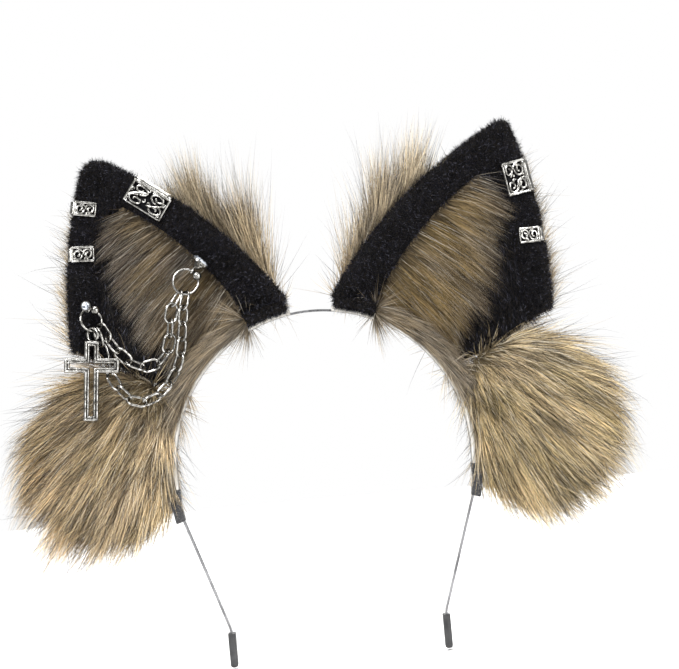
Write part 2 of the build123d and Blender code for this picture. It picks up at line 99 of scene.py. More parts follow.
def make_stage(material):
    """A round pale floor under the object."""
    floor_z = cad_low[2] - 0.001
    angle = np.linspace(0, 2 * pi, 64, endpoint=False)
    rim = np.stack([0.9 * np.cos(angle), 0.9 * np.sin(angle), np.full(64, floor_z)], 1)
    mesh = bpy.data.meshes.new("stage")
    mesh.from_pydata(rim.tolist(), [], [tuple(range(64))])
    mesh.materials.append(material)
    stage = bpy.data.objects.new("stage", mesh)
    bpy.context.collection.objects.link(stage)


def make_light():
    world = bpy.data.worlds.new("studio")
    world.use_nodes = True
    background = world.node_tree.nodes["Background"]
    background.inputs["Color"].default_value = (1.0, 1.0, 1.0, 1.0)
    direct = put(world.node_tree, "ShaderNodeLightPath").outputs["Is Camera Ray"]
    world.node_tree.links.new(ranged(world.node_tree, direct, 0.0, 1.0, 0.42, 1.0), background.inputs["Strength"])
    bpy.context.scene.world = world
    bpy.context.scene.view_settings.view_transform = "Standard"
    area_light("key", (-0.5, -0.9, 0.8), (0, 0, 0.03), 0.5, 18.0)
    area_light("fill", (0.8, -0.8, 0.25), (0, 0, 0.03), 0.7, 7.0)
    area_light("top", (0.0, 0.15, 1.0), (0, 0.05, 0.03), 0.8, 9.0)
    area_light("behind", (0.2, 0.9, 0.7), (0, 0, 0.03), 0.7, 12.0)


# ---------------------------------------------------------------- node trees

def put(tree, kind, values=None, **settings):
    """Add a node with its settings, and values or links for its inputs, by name or number."""
    node = tree.nodes.new(kind)
    for name, value in settings.items():
        setattr(node, name, value)
    for key, value in (values or {}).items():
        if isinstance(value, bpy.types.NodeSocket):
            tree.links.new(value, node.inputs[key])
        else:
            node.inputs[key].default_value = value
    return node


def arithmetic(tree, operation, a, b=0.0):
    return put(tree, "ShaderNodeMath", {0: a, 1: b}, operation=operation).outputs[0]


def along_vector(tree, operation, a, b=(0.0, 0.0, 0.0)):
    return put(tree, "ShaderNodeVectorMath", {0: a, 1: b}, operation=operation).outputs[0]


def scaled(tree, vector, factor):
    return put(tree, "ShaderNodeVectorMath", {0: vector, "Scale": factor}, operation="SCALE").outputs[0]


def blank_material(name, colour, roughness, metallic=0.0, **sockets):
    """A material with one principled shader, and its tree."""
    material = bpy.data.materials.new(name)
    material.use_nodes = True
    material.diffuse_color = (*colour, 1.0)
    shader = material.node_tree.nodes["Principled BSDF"]
    shader.inputs["Base Color"].default_value = (*colour, 1.0)
    shader.inputs["Roughness"].default_value = roughness
    shader.inputs["Metallic"].default_value = metallic
    for socket, value in sockets.items():
        shader.inputs[socket.replace("_", " ")].default_value = value
    return material, material.node_tree, shader


def object_noise(tree, scale, detail=3.0, stretch=(1.0, 1.0, 1.0)):
    """Noise on the object's own coordinates, in features of scale per metre."""
    where = put(tree, "ShaderNodeTexCoord").outputs["Object"]
    fitted = put(tree, "ShaderNodeMapping", {"Vector": where, "Scale": stretch})
    return put(
        tree, "ShaderNodeTexNoise", {"Vector": fitted.outputs[0], "Scale": scale, "Detail": detail}
    ).outputs["Fac"]


def ramp(tree, value, stops):
    """A colour ramp with stops of (position, colour)."""
    node = put(tree, "ShaderNodeValToRGB", {"Fac": value})
    while len(node.color_ramp.elements) < len(stops):
        node.color_ramp.elements.new(0.5)
    for element, (position, colour) in zip(node.color_ramp.elements, stops):
        element.position = position
        element.color = (*colour, 1.0)
    return node.outputs["Color"]


def mixed(tree, factor, a, b, how="MIX"):
    node = put(tree, "ShaderNodeMix", data_type="RGBA", blend_type=how)
    for socket, value in zip((node.inputs[0], node.inputs[6], node.inputs[7]), (factor, a, b)):
        if isinstance(value, bpy.types.NodeSocket):
            tree.links.new(value, socket)
        elif hasattr(value, "__len__"):
            socket.default_value = (*value, 1.0)
        else:
            socket.default_value = value
    return node.outputs[2]


def ranged(tree, value, low, high, to_low=0.0, to_high=1.0):
    return put(
        tree, "ShaderNodeMapRange",
        {"Value": value, "From Min": low, "From Max": high, "To Min": to_low, "To Max": to_high},
    ).outputs[0]


def bumped(tree, shader, height, strength, distance):
    bump = put(tree, "ShaderNodeBump", {"Height": height, "Strength": strength, "Distance": distance})
    tree.links.new(bump.outputs[0], shader.inputs["Normal"])


# ---------------------------------------------------------------- materials

def spring_steel():
    """Drawn steel strip: fine streaks that run across its width, and a few dull spots."""
    material, tree, shader = blank_material("spring_steel", (0.27, 0.27, 0.28), 0.3, 1.0)
    streaks = object_noise(tree, 900.0, 4.0, (1.0, 0.06, 1.0))
    spots = object_noise(tree, 120.0)
    tree.links.new(
        ramp(tree, spots, [(0.3, (0.17, 0.17, 0.175)), (0.6, (0.34, 0.34, 0.35))]), shader.inputs["Base Color"]
    )
    tree.links.new(ranged(tree, streaks, 0.3, 0.7, 0.2, 0.4), shader.inputs["Roughness"])
    bumped(tree, shader, streaks, 0.1, 0.0001)
    return material


def cap_rubber():
    """Satin rubber with a fine moulded skin, rubbed lighter in places."""
    material, tree, shader = blank_material("cap_rubber", (0.018, 0.018, 0.019), 0.42)
    grain = object_noise(tree, 2600.0)
    wear = object_noise(tree, 230.0)
    tree.links.new(
        ramp(tree, wear, [(0.35, (0.012, 0.012, 0.013)), (0.75, (0.05, 0.05, 0.052))]), shader.inputs["Base Color"]
    )
    tree.links.new(ranged(tree, wear, 0.3, 0.7, 0.33, 0.55), shader.inputs["Roughness"])
    bumped(tree, shader, grain, 0.25, 0.0001)
    return material


def sleeve_plastic():
    """Shrunk tube: glossy black, drawn into fine wrinkles round the band."""
    material, tree, shader = blank_material("sleeve_plastic", (0.014, 0.014, 0.015), 0.22)
    wrinkles = object_noise(tree, 700.0, 4.0, (1.0, 0.5, 2.2))
    tree.links.new(
        ramp(tree, wrinkles, [(0.35, (0.008, 0.008, 0.009)), (0.7, (0.035, 0.035, 0.037))]),
        shader.inputs["Base Color"],
    )
    tree.links.new(ranged(tree, wrinkles, 0.3, 0.7, 0.15, 0.34), shader.inputs["Roughness"])
    bumped(tree, shader, wrinkles, 0.8, 0.0006)
    return material


def knitted_backing():
    """Pale knitted backing of the fur strip that is glued round the band."""
    material, tree, shader = blank_material("knitted_backing", (0.60, 0.58, 0.54), 0.9)
    where = put(tree, "ShaderNodeTexCoord").outputs["Object"]
    courses = put(
        tree, "ShaderNodeTexWave", {"Vector": where, "Scale": 420.0, "Distortion": 1.5}, bands_direction="Y"
    ).outputs["Fac"]
    stain = object_noise(tree, 160.0)
    cloth = ramp(tree, stain, [(0.3, (0.50, 0.47, 0.42)), (0.7, (0.72, 0.71, 0.68))])
    tree.links.new(mixed(tree, courses, (0.30, 0.28, 0.25), cloth), shader.inputs["Base Color"])
    bumped(tree, shader, courses, 0.5, 0.0003)
    return material


def felt(name, dark, light):
    """Pressed felt: short fibres lying every way."""
    material, tree, shader = blank_material(name, light, 0.95)
    fibres = object_noise(tree, 1500.0, 6.0)
    tree.links.new(ramp(tree, fibres, [(0.3, dark), (0.7, light)]), shader.inputs["Base Color"])
    bumped(tree, shader, fibres, 0.6, 0.0004)
    return material


def painted_hollow_shade(tree, shader, open_colour, distance):
    """Painted shade: darken a colour where the surface is closed in on itself, as ambient occlusion finds it."""
    shut = put(tree, "ShaderNodeAmbientOcclusion", {"Distance": distance}, samples=6).outputs["AO"]
    depth = ranged(tree, shut, 0.35, 0.85)
    tree.links.new(mixed(tree, depth, (0.035, 0.033, 0.03), open_colour), shader.inputs["Base Color"])


def silver_alloy():
    """Antiqued plating: bright where it is rubbed, tarnished in patches, and blackened in the hollows by painted
    shade.
    """
    material, tree, shader = blank_material("silver_alloy", (0.40, 0.39, 0.37), 0.2, 1.0)
    tarnish = object_noise(tree, 520.0, 4.0)
    scratches = object_noise(tree, 1800.0, 3.0, (1.0, 1.0, 0.2))
    plating = ramp(
        tree, tarnish, [(0.36, (0.13, 0.125, 0.115)), (0.52, (0.38, 0.37, 0.345)), (0.66, (0.60, 0.59, 0.57))]
    )
    # painted shade: the occlusion node blackens the plating in the hollows
    painted_hollow_shade(tree, shader, plating, 0.0016)
    tree.links.new(ranged(tree, tarnish, 0.35, 0.65, 0.30, 0.14), shader.inputs["Roughness"])
    bumped(tree, shader, scratches, 0.12, 0.0001)
    return material


def crystal():
    """Cut glass with a faint cold tint and foil behind it, its colour patched with painted glints."""
    material, tree, shader = blank_material(
        "crystal", (0.42, 0.46, 0.52), 0.04, 0.0, IOR=1.6, Coat_Weight=1.0, Coat_Roughness=0.02
    )
    glints = object_noise(tree, 900.0, 1.0)
    # painted glints: bright and dark patches in the base colour stand in for the gem's sparkle
    tree.links.new(
        ramp(tree, glints, [(0.38, (0.06, 0.07, 0.09)), (0.55, (0.62, 0.66, 0.72))]), shader.inputs["Base Color"]
    )
    return material


def clutch_plastic():
    """Soft clear-white plastic, a little cloudy."""
    material, tree, shader = blank_material("clutch_plastic", (0.72, 0.72, 0.70), 0.35)
    cloud = object_noise(tree, 600.0)
    tree.links.new(
        ramp(tree, cloud, [(0.3, (0.60, 0.60, 0.57)), (0.7, (0.82, 0.82, 0.80))]), shader.inputs["Base Color"]
    )
    return material


def hair(name, tip, pale, roughness=0.5, tip_start=0.55, dark_share=0.3, pale_share=0.15):
    """Pile fibres: the coat's own colour, darkened near the root by painted shade, darker or paler from fibre to
    fibre and towards the tip.
    """
    material, tree, shader = blank_material(name, (0.4, 0.32, 0.2), roughness)
    shader.inputs["Specular IOR Level"].default_value = 0.25
    coat = put(tree, "ShaderNodeAttribute", attribute_name="coat").outputs["Color"]
    tint = put(tree, "ShaderNodeAttribute", attribute_name="tint").outputs["Fac"]
    along = put(tree, "ShaderNodeAttribute", attribute_name="along").outputs["Fac"]
    tone = put(tree, "ShaderNodeAttribute", attribute_name="tone").outputs["Fac"]
    spread = arithmetic(
        tree, "MULTIPLY", ranged(tree, tint, 0.0, 1.0, 1.6, 0.30), ranged(tree, tone, 0.3, 0.7, 0.55, 1.55)
    )
    shade = put(tree, "ShaderNodeCombineColor", {0: spread, 1: spread, 2: spread}).outputs[0]
    fibre = mixed(tree, 1.0, coat, shade, "MULTIPLY")
    # painted shade: each fibre darkens towards near black at its root, deep in the coat
    shaded_at_root = mixed(tree, ranged(tree, along, 0.0, 0.4, 0.8, 0.0), fibre, (0.035, 0.028, 0.02))
    is_pale = ranged(tree, tint, pale_share, pale_share - 0.04)
    paled = mixed(tree, arithmetic(tree, "MULTIPLY", is_pale, 0.85), shaded_at_root, pale)
    is_dark = ranged(tree, tint, 1.0 - dark_share, 1.0 - dark_share + 0.06)
    reach = ranged(tree, along, tip_start, tip_start + 0.25)
    tree.links.new(
        mixed(tree, arithmetic(tree, "MULTIPLY", is_dark, reach), paled, tip), shader.inputs["Base Color"]
    )
    return material


def fur_backing(name, dark, light):
    """What shows between the fibres: matted underfur."""
    material, tree, shader = blank_material(name, light, 0.95)
    matted = object_noise(tree, 900.0, 6.0, (1.0, 1.0, 0.35))
    tree.links.new(ramp(tree, matted, [(0.3, dark), (0.7, light)]), shader.inputs["Base Color"])
    bumped(tree, shader, matted, 0.9, 0.0008)
    return material


def stage_paint():
    return blank_material("stage_paint", (0.93, 0.93, 0.93), 0.9)[0]


# ---------------------------------------------------------------- meshes

def as_piece(name, points, faces, material, side=1, smooth=True):
    """A mesh from points in millimetres. The left side is mirrored, and its faces turned to match."""
    points = np.asarray(points, float) * (side, 1, 1) * MM
    if side < 0:
        faces = [tuple(reversed(face)) for face in faces]
    mesh = bpy.data.meshes.new(name)
    mesh.from_pydata(points.tolist(), [], faces)
    mesh.materials.append(material)
    if smooth:
        mesh.shade_smooth()
    piece = bpy.data.objects.new(name, mesh)
    bpy.context.collection.objects.link(piece)
    return piece


def loops_joined(count, around, closed_ends=True):
    """Faces of a tube of count loops with around points each, with its two ends closed."""
    faces = []
    for k in range(count - 1):
        for j in range(around):
            near, far = k * around, (k + 1) * around
            faces.append((near + j, far + j, far + (j + 1) % around, near + (j + 1) % around))
    if closed_ends:
        faces.append(tuple(range(around)))
        faces.append(tuple(reversed(range((count - 1) * around, count * around))))
    return faces


def arc_through(a, b, c, count):
    """Points on the circle arc from a through b to c."""
    (ax, ay), (bx, by), (cx, cy) = a, b, c
    twice = 2 * (ax * (by - cy) + bx * (cy - ay) + cx * (ay - by))
    aa, bb, cc = ax**2 + ay**2, bx**2 + by**2, cx**2 + cy**2
    centre = np.array([
        (aa * (by - cy) + bb * (cy - ay) + cc * (ay - by)) / twice,
        (aa * (cx - bx) + bb * (ax - cx) + cc * (bx - ax)) / twice,
    ])
    start, middle, end = (atan2(p[1] - centre[1], p[0] - centre[0]) for p in (a, b, c))
    turn = (end - start) % (2 * pi)
    if (middle - start) % (2 * pi) > turn:
        turn -= 2 * pi
    angles = start + turn * np.linspace(0, 1, count)
    radius = np.hypot(ax - centre[0], ay - centre[1])
    return centre + radius * np.stack([np.cos(angles), np.sin(angles)], 1)


def round_corner(a, corner, b, count):
    """Points on a smooth curve from a to b that is drawn towards a corner."""
    t = np.linspace(0, 1, count)[:, None]
    a, corner, b = (np.asarray(p, float) for p in (a, corner, b))
    return (1 - t) ** 2 * a + 2 * t * (1 - t) * corner + t**2 * b


def on_circle(radius, degrees):
    return (radius * cos(radians(degrees)), radius * sin(radians(degrees)))


def spaced(line, count):
    """The same polyline with count evenly spaced points."""
    steps = np.hypot(*np.diff(line, axis=0).T)
    far = np.concatenate([[0], np.cumsum(steps)])
    at = np.linspace(0, far[-1], count)
    return np.stack([np.interp(at, far, line[:, k]) for k in (0, 1)], 1)


# ---------------------------------------------------------------- the ear's shape

EAR_LEAN = radians(24.5)
CUP_AXIS_ACROSS = 25.75
CUP_AXIS_Y = -63.0
BACK_R = 74.0
CORE_FRONT_R = 70.5
LINING_FRONT_R = 69.0
FLUFF_FRONT_R = 67.6
BACK_CLOTH_R = 72.1
BASE_R = 71.0
HEEL_DEGREES = 80.5
INNER_FOOT_DEGREES = 66.5
HEM_DEGREES = 30
EAR_MIDDLE = (70.0, 88.0)
FLUFF_MIDDLE = (60.0, 82.0)
TIP = (92.5, 141.0)
TOE = (103.0, 57.0)
HEEL = on_circle(BASE_R, HEEL_DEGREES)
HEM_END = on_circle(BASE_R, HEM_DEGREES)
INNER_FOOT = on_circle(BASE_R, INNER_FOOT_DEGREES)
TIP_ROUNDING = {"left": 9.0, "right": 3.0}


def cup_y(x, z, radius):
    """Depth of the cupped ear's wall at a point seen from the front."""
    across = x * cos(EAR_LEAN) - z * sin(EAR_LEAN) - CUP_AXIS_ACROSS
    return CUP_AXIS_Y + np.sqrt(radius**2 - across**2)


def on_cup(flat, radius):
    """Points in space for points seen from the front."""
    flat = np.asarray(flat, float)
    return np.stack([flat[:, 0], cup_y(flat[:, 0], flat[:, 1], radius), flat[:, 1]], 1)


def ear_edges(side_name, count=110):
    """The border's outer and inner edges, point for point, from the heel round the tip to the toe."""
    cut = TIP_ROUNDING[side_name]
    medial = arc_through(HEEL, (46.0, 109.3), TIP, 160)
    lateral = arc_through(TIP, (102.0, 100.0), TOE, 120)
    medial = medial[np.hypot(*(medial - TIP).T) > cut]
    lateral = lateral[np.hypot(*(lateral - TIP).T) > cut]
    tip = round_corner(medial[-1], TIP, lateral[0], 12)
    inner_medial = arc_through(INNER_FOOT, (54.8, 99.7), (77.5, 117.5), 60)
    inner_turn = round_corner((77.5, 117.5), (86.5, 122.5), (91.8, 102.0), 20)
    inner_lateral = np.array([(91.8, 102.0), (94.5, 52.6)])
    shares = (0.5, 0.14, 0.36)
    outer = [medial, tip, lateral]
    inner = [inner_medial, inner_turn, inner_lateral]
    numbers = [round(count * share) for share in shares]
    return (
        np.concatenate([spaced(part, n + 1)[:-1] for part, n in zip(outer, numbers)] + [[TOE]]),
        np.concatenate([spaced(part, n + 1)[:-1] for part, n in zip(inner, numbers)] + [[inner_lateral[-1]]]),
    )


def pattern_shell(outline, centre, front_r, back_r, rings=14, edge_out=0.5):
    """A closed shell cut to an outline on the cup. Returns points, faces, and how far out each point lies."""
    outline, centre = np.asarray(outline, float), np.asarray(centre, float)
    count = len(outline)
    outward = outline - centre
    outward /= np.hypot(*outward.T)[:, None]
    points, reach, front = [], [], []
    for radius, is_front in ((front_r, True), (back_r, False)):
        for ring in range(1, rings + 1):
            share = ring / rings
            points.append(on_cup(centre + (outline - centre) * share, radius))
            reach += [share] * count
            front += [is_front] * count
    points.append(on_cup(outline + outward * edge_out, (front_r + back_r) / 2))
    reach += [1.0] * count
    front += [False] * count
    for radius, is_front in ((front_r, True), (back_r, False)):
        points.append(on_cup(centre[None], radius))
        reach.append(0.0)
        front.append(is_front)
    faces = []
    rim, hub_front = 2 * rings * count, (2 * rings + 1) * count
    for layer in (0, 1):
        start = layer * rings * count
        for ring in range(rings - 1):
            a, b = start + ring * count, start + (ring + 1) * count
            for j in range(count):
                k = (j + 1) % count
                quad = (a + j, a + k, b + k, b + j)
                faces.append(quad if layer == 0 else quad[::-1])
        for j in range(count):
            k = (j + 1) % count
            fan = (hub_front + layer, start + k, start + j)
            faces.append(fan if layer == 0 else fan[::-1])
    last_front, last_back = (rings - 1) * count, (2 * rings - 1) * count
    for j in range(count):
        k = (j + 1) % count
        faces.append((last_front + j, last_front + k, rim + k, rim + j))
        faces.append((rim + j, rim + k, last_back + k, last_back + j))
    return np.concatenate(points), faces, np.array(reach), np.array(front)


def sewn_panel(name, shell, cloth, side):
    """A piece from what pattern_shell gives, with its right-hand points, and where they lie."""
    points, faces, reach, front = shell
    panel = as_piece(name, points, faces, cloth, side)
    outward_faces(panel)
    return panel, points, reach, front


def outward_faces(piece):
    """Turn every face outwards."""
    shape = bmesh.new()
    shape.from_mesh(piece.data)
    bmesh.ops.recalc_face_normals(shape, faces=shape.faces)
    shape.to_mesh(piece.data)
    shape.free()


# ---------------------------------------------------------------- hair that grows from a surface

def ripple(points, waves, phase):
    """A smooth wandering value from -1 to 1 over space, its waves given in millimetres."""
    p = np.asarray(points, float) * 2 * pi / waves
    first = np.sin(p[:, 0] + 0.7 * p[:, 2] + phase)
    second = np.sin(1.3 * p[:, 2] - 0.6 * p[:, 0] + 2.1 * phase + 0.4 * p[:, 1])
    third = np.sin(2.1 * p[:, 0] - 1.7 * p[:, 2] + 0.5 * phase)
    return (first + second + 0.6 * third) / 2.6


def set_attribute(mesh, name, kind, values):
    attribute = mesh.attributes.new(name, kind, "POINT")
    field = {"FLOAT": "value", "FLOAT_VECTOR": "vector", "FLOAT_COLOR": "color"}[kind]
    attribute.data.foreach_set(field, np.asarray(values, np.float32).ravel())


HAIR_INPUTS = (
    ("Density", "NodeSocketFloat"),
    ("Seed", "NodeSocketInt"),
    ("Length", "NodeSocketFloat"),
    ("Shortest Share", "NodeSocketFloat"),
    ("Thickness", "NodeSocketFloat"),
    ("Lift", "NodeSocketFloat"),
    ("Settle", "NodeSocketFloat"),
    ("Spray", "NodeSocketFloat"),
    ("Curl", "NodeSocketFloat"),
    ("Droop", "NodeSocketFloat"),
    ("Lock Size", "NodeSocketFloat"),
    ("Lock Pull", "NodeSocketFloat"),
    ("Lock Variety", "NodeSocketFloat"),
    ("Segments", "NodeSocketInt"),
    ("Material", "NodeSocketMaterial"),
)


def hair_tree():
    """Tapered fibres on a surface that carries comb, reach, growth and coat at each of its points."""
    tree = bpy.data.node_groups.new("hair_coat", "GeometryNodeTree")
    tree.interface.new_socket("Geometry", in_out="INPUT", socket_type="NodeSocketGeometry")
    for name, kind in HAIR_INPUTS:
        tree.interface.new_socket(name, in_out="INPUT", socket_type=kind)
    tree.interface.new_socket("Geometry", in_out="OUTPUT", socket_type="NodeSocketGeometry")
    given = tree.nodes.new("NodeGroupInput").outputs
    result = tree.nodes.new("NodeGroupOutput")

    def named(name, kind):
        return put(tree, "GeometryNodeInputNamedAttribute", {"Name": name}, data_type=kind).outputs[0]

    def chance(low, high, extra, kind="FLOAT"):
        seed = arithmetic(tree, "ADD", given["Seed"], float(extra))
        node = put(tree, "FunctionNodeRandomValue", {"Seed": seed}, data_type=kind)
        sockets = [socket for socket in node.inputs if socket.enabled and socket.name in ("Min", "Max")]
        sockets[0].default_value = low
        sockets[1].default_value = high
        return next(socket for socket in node.outputs if socket.enabled)

    def stored(geometry, name, kind, value):
        return put(
            tree, "GeometryNodeStoreNamedAttribute",
            {"Geometry": geometry, "Name": name, "Value": value}, data_type=kind, domain="POINT",
        ).outputs[0]

    scatter = put(
        tree, "GeometryNodeDistributePointsOnFaces",
        {
            "Mesh": given["Geometry"],
            "Density": arithmetic(tree, "MULTIPLY", given["Density"], named("growth", "FLOAT")),
            "Seed": given["Seed"],
        },
    )
    normal = scatter.outputs["Normal"]
    place = put(tree, "GeometryNodeInputPosition").outputs[0]
    comb = named("comb", "FLOAT_VECTOR")
    flat = along_vector(tree, "SUBTRACT", comb, along_vector(tree, "PROJECT", comb, normal))
    jitter = chance((-1, -1, -1), (1, 1, 1), 11, "FLOAT_VECTOR")
    lifted = along_vector(tree, "ADD", flat, scaled(tree, normal, given["Lift"]))
    way = along_vector(
        tree, "NORMALIZE", along_vector(tree, "ADD", lifted, scaled(tree, jitter, given["Spray"]))
    )
    span = arithmetic(tree, "MULTIPLY", given["Length"], named("reach", "FLOAT"))
    share = chance(0.0, 1.0, 23)
    shortest = given["Shortest Share"]
    stretch = arithmetic(
        tree, "ADD", shortest, arithmetic(tree, "MULTIPLY", share, arithmetic(tree, "SUBTRACT", 1.0, shortest))
    )
    span = arithmetic(tree, "MULTIPLY", span, stretch)
    cells = put(
        tree, "ShaderNodeTexVoronoi",
        {"Vector": place, "Scale": arithmetic(tree, "DIVIDE", 1.0, given["Lock Size"])},
    )
    chosen = put(tree, "ShaderNodeSeparateXYZ", {0: cells.outputs["Color"]}).outputs[0]
    uneven = arithmetic(tree, "MULTIPLY", arithmetic(tree, "SUBTRACT", chosen, 0.5), given["Lock Variety"])
    span = arithmetic(tree, "MULTIPLY", span, arithmetic(tree, "ADD", 1.0, uneven))
    curl = scaled(tree, chance((-1, -1, -1), (1, 1, 1), 37, "FLOAT_VECTOR"), given["Curl"])
    fall = scaled(tree, put(tree, "ShaderNodeCombineXYZ", {"Z": -1.0}).outputs[0], given["Droop"])
    flattening = arithmetic(tree, "MULTIPLY", given["Lift"], given["Settle"])
    settle = scaled(tree, normal, arithmetic(tree, "MULTIPLY", flattening, -1.0))
    bend = along_vector(tree, "ADD", along_vector(tree, "ADD", curl, fall), settle)
    pull = scaled(
        tree, along_vector(tree, "SUBTRACT", cells.outputs["Position"], place), given["Lock Pull"]
    )
    patches = put(tree, "ShaderNodeTexNoise", {"Vector": place, "Scale": 420.0, "Detail": 2.0}).outputs["Fac"]
    tone = arithmetic(
        tree, "ADD", arithmetic(tree, "MULTIPLY", chosen, 0.4), arithmetic(tree, "MULTIPLY", patches, 0.6)
    )
    points = scatter.outputs["Points"]
    for name, kind, value in (
        ("root", "FLOAT_VECTOR", place),
        ("way", "FLOAT_VECTOR", scaled(tree, way, span)),
        ("bend", "FLOAT_VECTOR", along_vector(tree, "ADD", scaled(tree, bend, span), pull)),
        ("facing", "FLOAT_VECTOR", normal),
        ("tint", "FLOAT", chance(0.0, 1.0, 53)),
        ("tone", "FLOAT", tone),
    ):
        points = stored(points, name, kind, value)

    fibre = put(
        tree, "GeometryNodeMeshCone",
        {"Vertices": 3, "Side Segments": given["Segments"], "Radius Top": 0.0, "Radius Bottom": 1.0, "Depth": 1.0},
    ).outputs["Mesh"]
    local = put(tree, "ShaderNodeSeparateXYZ", {0: put(tree, "GeometryNodeInputPosition").outputs[0]})
    fibre = stored(fibre, "along", "FLOAT", local.outputs["Z"])
    fibre = stored(fibre, "aside", "FLOAT", local.outputs["X"])
    fibre = stored(fibre, "above", "FLOAT", local.outputs["Y"])
    grown = put(tree, "GeometryNodeInstanceOnPoints", {"Points": points, "Instance": fibre}).outputs[0]
    grown = put(tree, "GeometryNodeRealizeInstances", {"Geometry": grown}).outputs[0]

    along = named("along", "FLOAT")
    course = scaled(tree, named("way", "FLOAT_VECTOR"), along)
    course = along_vector(
        tree, "ADD", course,
        scaled(tree, named("bend", "FLOAT_VECTOR"), arithmetic(tree, "POWER", along, 2.0)),
    )
    way, facing = named("way", "FLOAT_VECTOR"), named("facing", "FLOAT_VECTOR")
    across = along_vector(tree, "NORMALIZE", along_vector(tree, "CROSS_PRODUCT", way, facing))
    over = along_vector(tree, "NORMALIZE", along_vector(tree, "CROSS_PRODUCT", across, way))
    width = along_vector(
        tree, "ADD", scaled(tree, across, named("aside", "FLOAT")), scaled(tree, over, named("above", "FLOAT"))
    )
    final = along_vector(tree, "ADD", named("root", "FLOAT_VECTOR"), course)
    final = along_vector(tree, "ADD", final, scaled(tree, width, given["Thickness"]))
    grown = put(tree, "GeometryNodeSetPosition", {"Geometry": grown, "Position": final}).outputs[0]
    for name in ("root", "way", "bend", "facing", "aside", "above", "comb", "reach", "growth"):
        grown = put(tree, "GeometryNodeRemoveAttribute", {"Geometry": grown, "Name": name}).outputs[0]
    grown = put(tree, "GeometryNodeSetMaterial", {"Geometry": grown, "Material": given["Material"]}).outputs[0]
    tree.links.new(grown, result.inputs[0])
    return tree


HAIR_COAT = hair_tree()

# axis, where a hair starts to bend back, and where it stops
HAIR_ROOM = ((0, -131.0, -147.5), (0, 131.0, 147.5), (1, -22.0, -30.0), (1, 25.0, 33.5), (2, 145.0, 156.5))


def brushed_in(mesh):
    """Bend back the ends of hairs that would reach past the room round the object. Millimetres, per axis."""
    points = np.empty(len(mesh.vertices) * 3, np.float32)
    mesh.vertices.foreach_get("co", points)
    points = points.reshape(-1, 3) / MM
    for axis, easy, limit in HAIR_ROOM:
        hand, room = np.sign(limit - easy), abs(limit - easy)
        past = np.maximum((points[:, axis] - easy) * hand, 0.0)
        bent = easy + hand * room * (1 - np.exp(-past / room))
        points[:, axis] = np.where(past > 0, bent, points[:, axis])
    mesh.vertices.foreach_set("co", (points * MM).ravel())
    mesh.update()


def grow(name, surface, count, seed, length, material, **habit):
    """Grow about count fibres on a surface and return them as a plain mesh piece. Lengths in millimetres."""
    habit = {
        "Shortest Share": 0.55, "Thickness": 0.16, "Lift": 0.35, "Settle": 0.3, "Spray": 0.12, "Curl": 0.08,
        "Droop": 0.05, "Lock Size": 5.0, "Lock Pull": 0.35, "Lock Variety": 0.5, "Segments": 4, **habit,
    }
    mesh = surface.data
    growth = np.empty(len(mesh.vertices), np.float32)
    mesh.attributes["growth"].data.foreach_get("value", growth)
    grown_area = sum(face.area * growth[list(face.vertices)].mean() for face in mesh.polygons)
    in_metres = ("Thickness", "Lock Size")
    values = {key: value * MM if key in in_metres else value for key, value in habit.items()}
    values |= {"Density": count / grown_area, "Seed": seed, "Length": length * MM, "Material": material}
    modifier = surface.modifiers.new("hair", "NODES")
    modifier.node_group = HAIR_COAT
    for item in HAIR_COAT.interface.items_tree:
        if item.in_out == "INPUT" and item.name in values:
            modifier[item.identifier] = values[item.name]
    bpy.context.view_layer.update()
    grown = bpy.data.meshes.new_from_object(surface.evaluated_get(bpy.context.evaluated_depsgraph_get()))
    surface.modifiers.remove(modifier)
    grown.name = name
    brushed_in(grown)
    piece = bpy.data.objects.new(name, grown)
    bpy.context.collection.objects.link(piece)
    return piece


def furred(surface, side, comb, reach, growth, coat):
    """Write what the hair needs on a surface's points. comb is for the right side, and is mirrored for the left."""
    count = len(surface.data.vertices)
    set_attribute(surface.data, "comb", "FLOAT_VECTOR", np.asarray(comb) * (side, 1, 1))
    set_attribute(surface.data, "reach", "FLOAT", np.broadcast_to(reach, count))
    set_attribute(surface.data, "growth", "FLOAT", np.broadcast_to(growth, count))
    set_attribute(surface.data, "coat", "FLOAT_COLOR", np.concatenate([coat, np.ones((count, 1))], 1))


def blend_colours(weights, colours):
    """Mix colours by weights, point by point."""
    weights = np.maximum(np.stack(weights, 1), 0.0)
    weights /= weights.sum(1, keepdims=True)
    return weights @ np.array(colours)


# ---------------------------------------------------------------- finishes

STEEL = spring_steel()
RUBBER = cap_rubber()
SLEEVE = sleeve_plastic()
BACKING = knitted_backing()
BLACK_FELT = felt("black_felt", (0.012, 0.012, 0.013), (0.06, 0.06, 0.062))
SILVER = silver_alloy()
CRYSTAL = crystal()
CLUTCH = clutch_plastic()
PLUSH_CLOTH = fur_backing("plush_cloth", (0.002, 0.002, 0.0025), (0.012, 0.012, 0.014))
TAN_UNDERFUR = fur_backing("tan_underfur", (0.05, 0.037, 0.022), (0.24, 0.18, 0.10))
PALE_UNDERFUR = fur_backing("pale_underfur", (0.24, 0.20, 0.14), (0.55, 0.48, 0.36))
PLUSH_PILE = hair("plush_pile", (0.15, 0.15, 0.19), (0.05, 0.05, 0.07), 0.5, 0.4, 0.11, 0.05)
LONG_FUR = hair("long_fur", (0.022, 0.017, 0.014), (0.76, 0.69, 0.55), 0.5, 0.3, 0.24, 0.16)
GUARD_FUR = hair("guard_fur", (0.018, 0.014, 0.012), (0.72, 0.66, 0.54), 0.5, 0.35, 0.5, 0.12)
INNER_FUR = hair("inner_fur", (0.016, 0.012, 0.011), (0.45, 0.41, 0.34), 0.5, 0.35, 0.34, 0.10)
WISPS = hair("wisps", (0.035, 0.028, 0.022), (0.55, 0.48, 0.36), 0.5, 0.45, 0.55, 0.18)
LOOSE = hair("loose_hair", (0.014, 0.012, 0.010), (0.20, 0.16, 0.11), 0.5, 0.2, 0.75, 0.2)

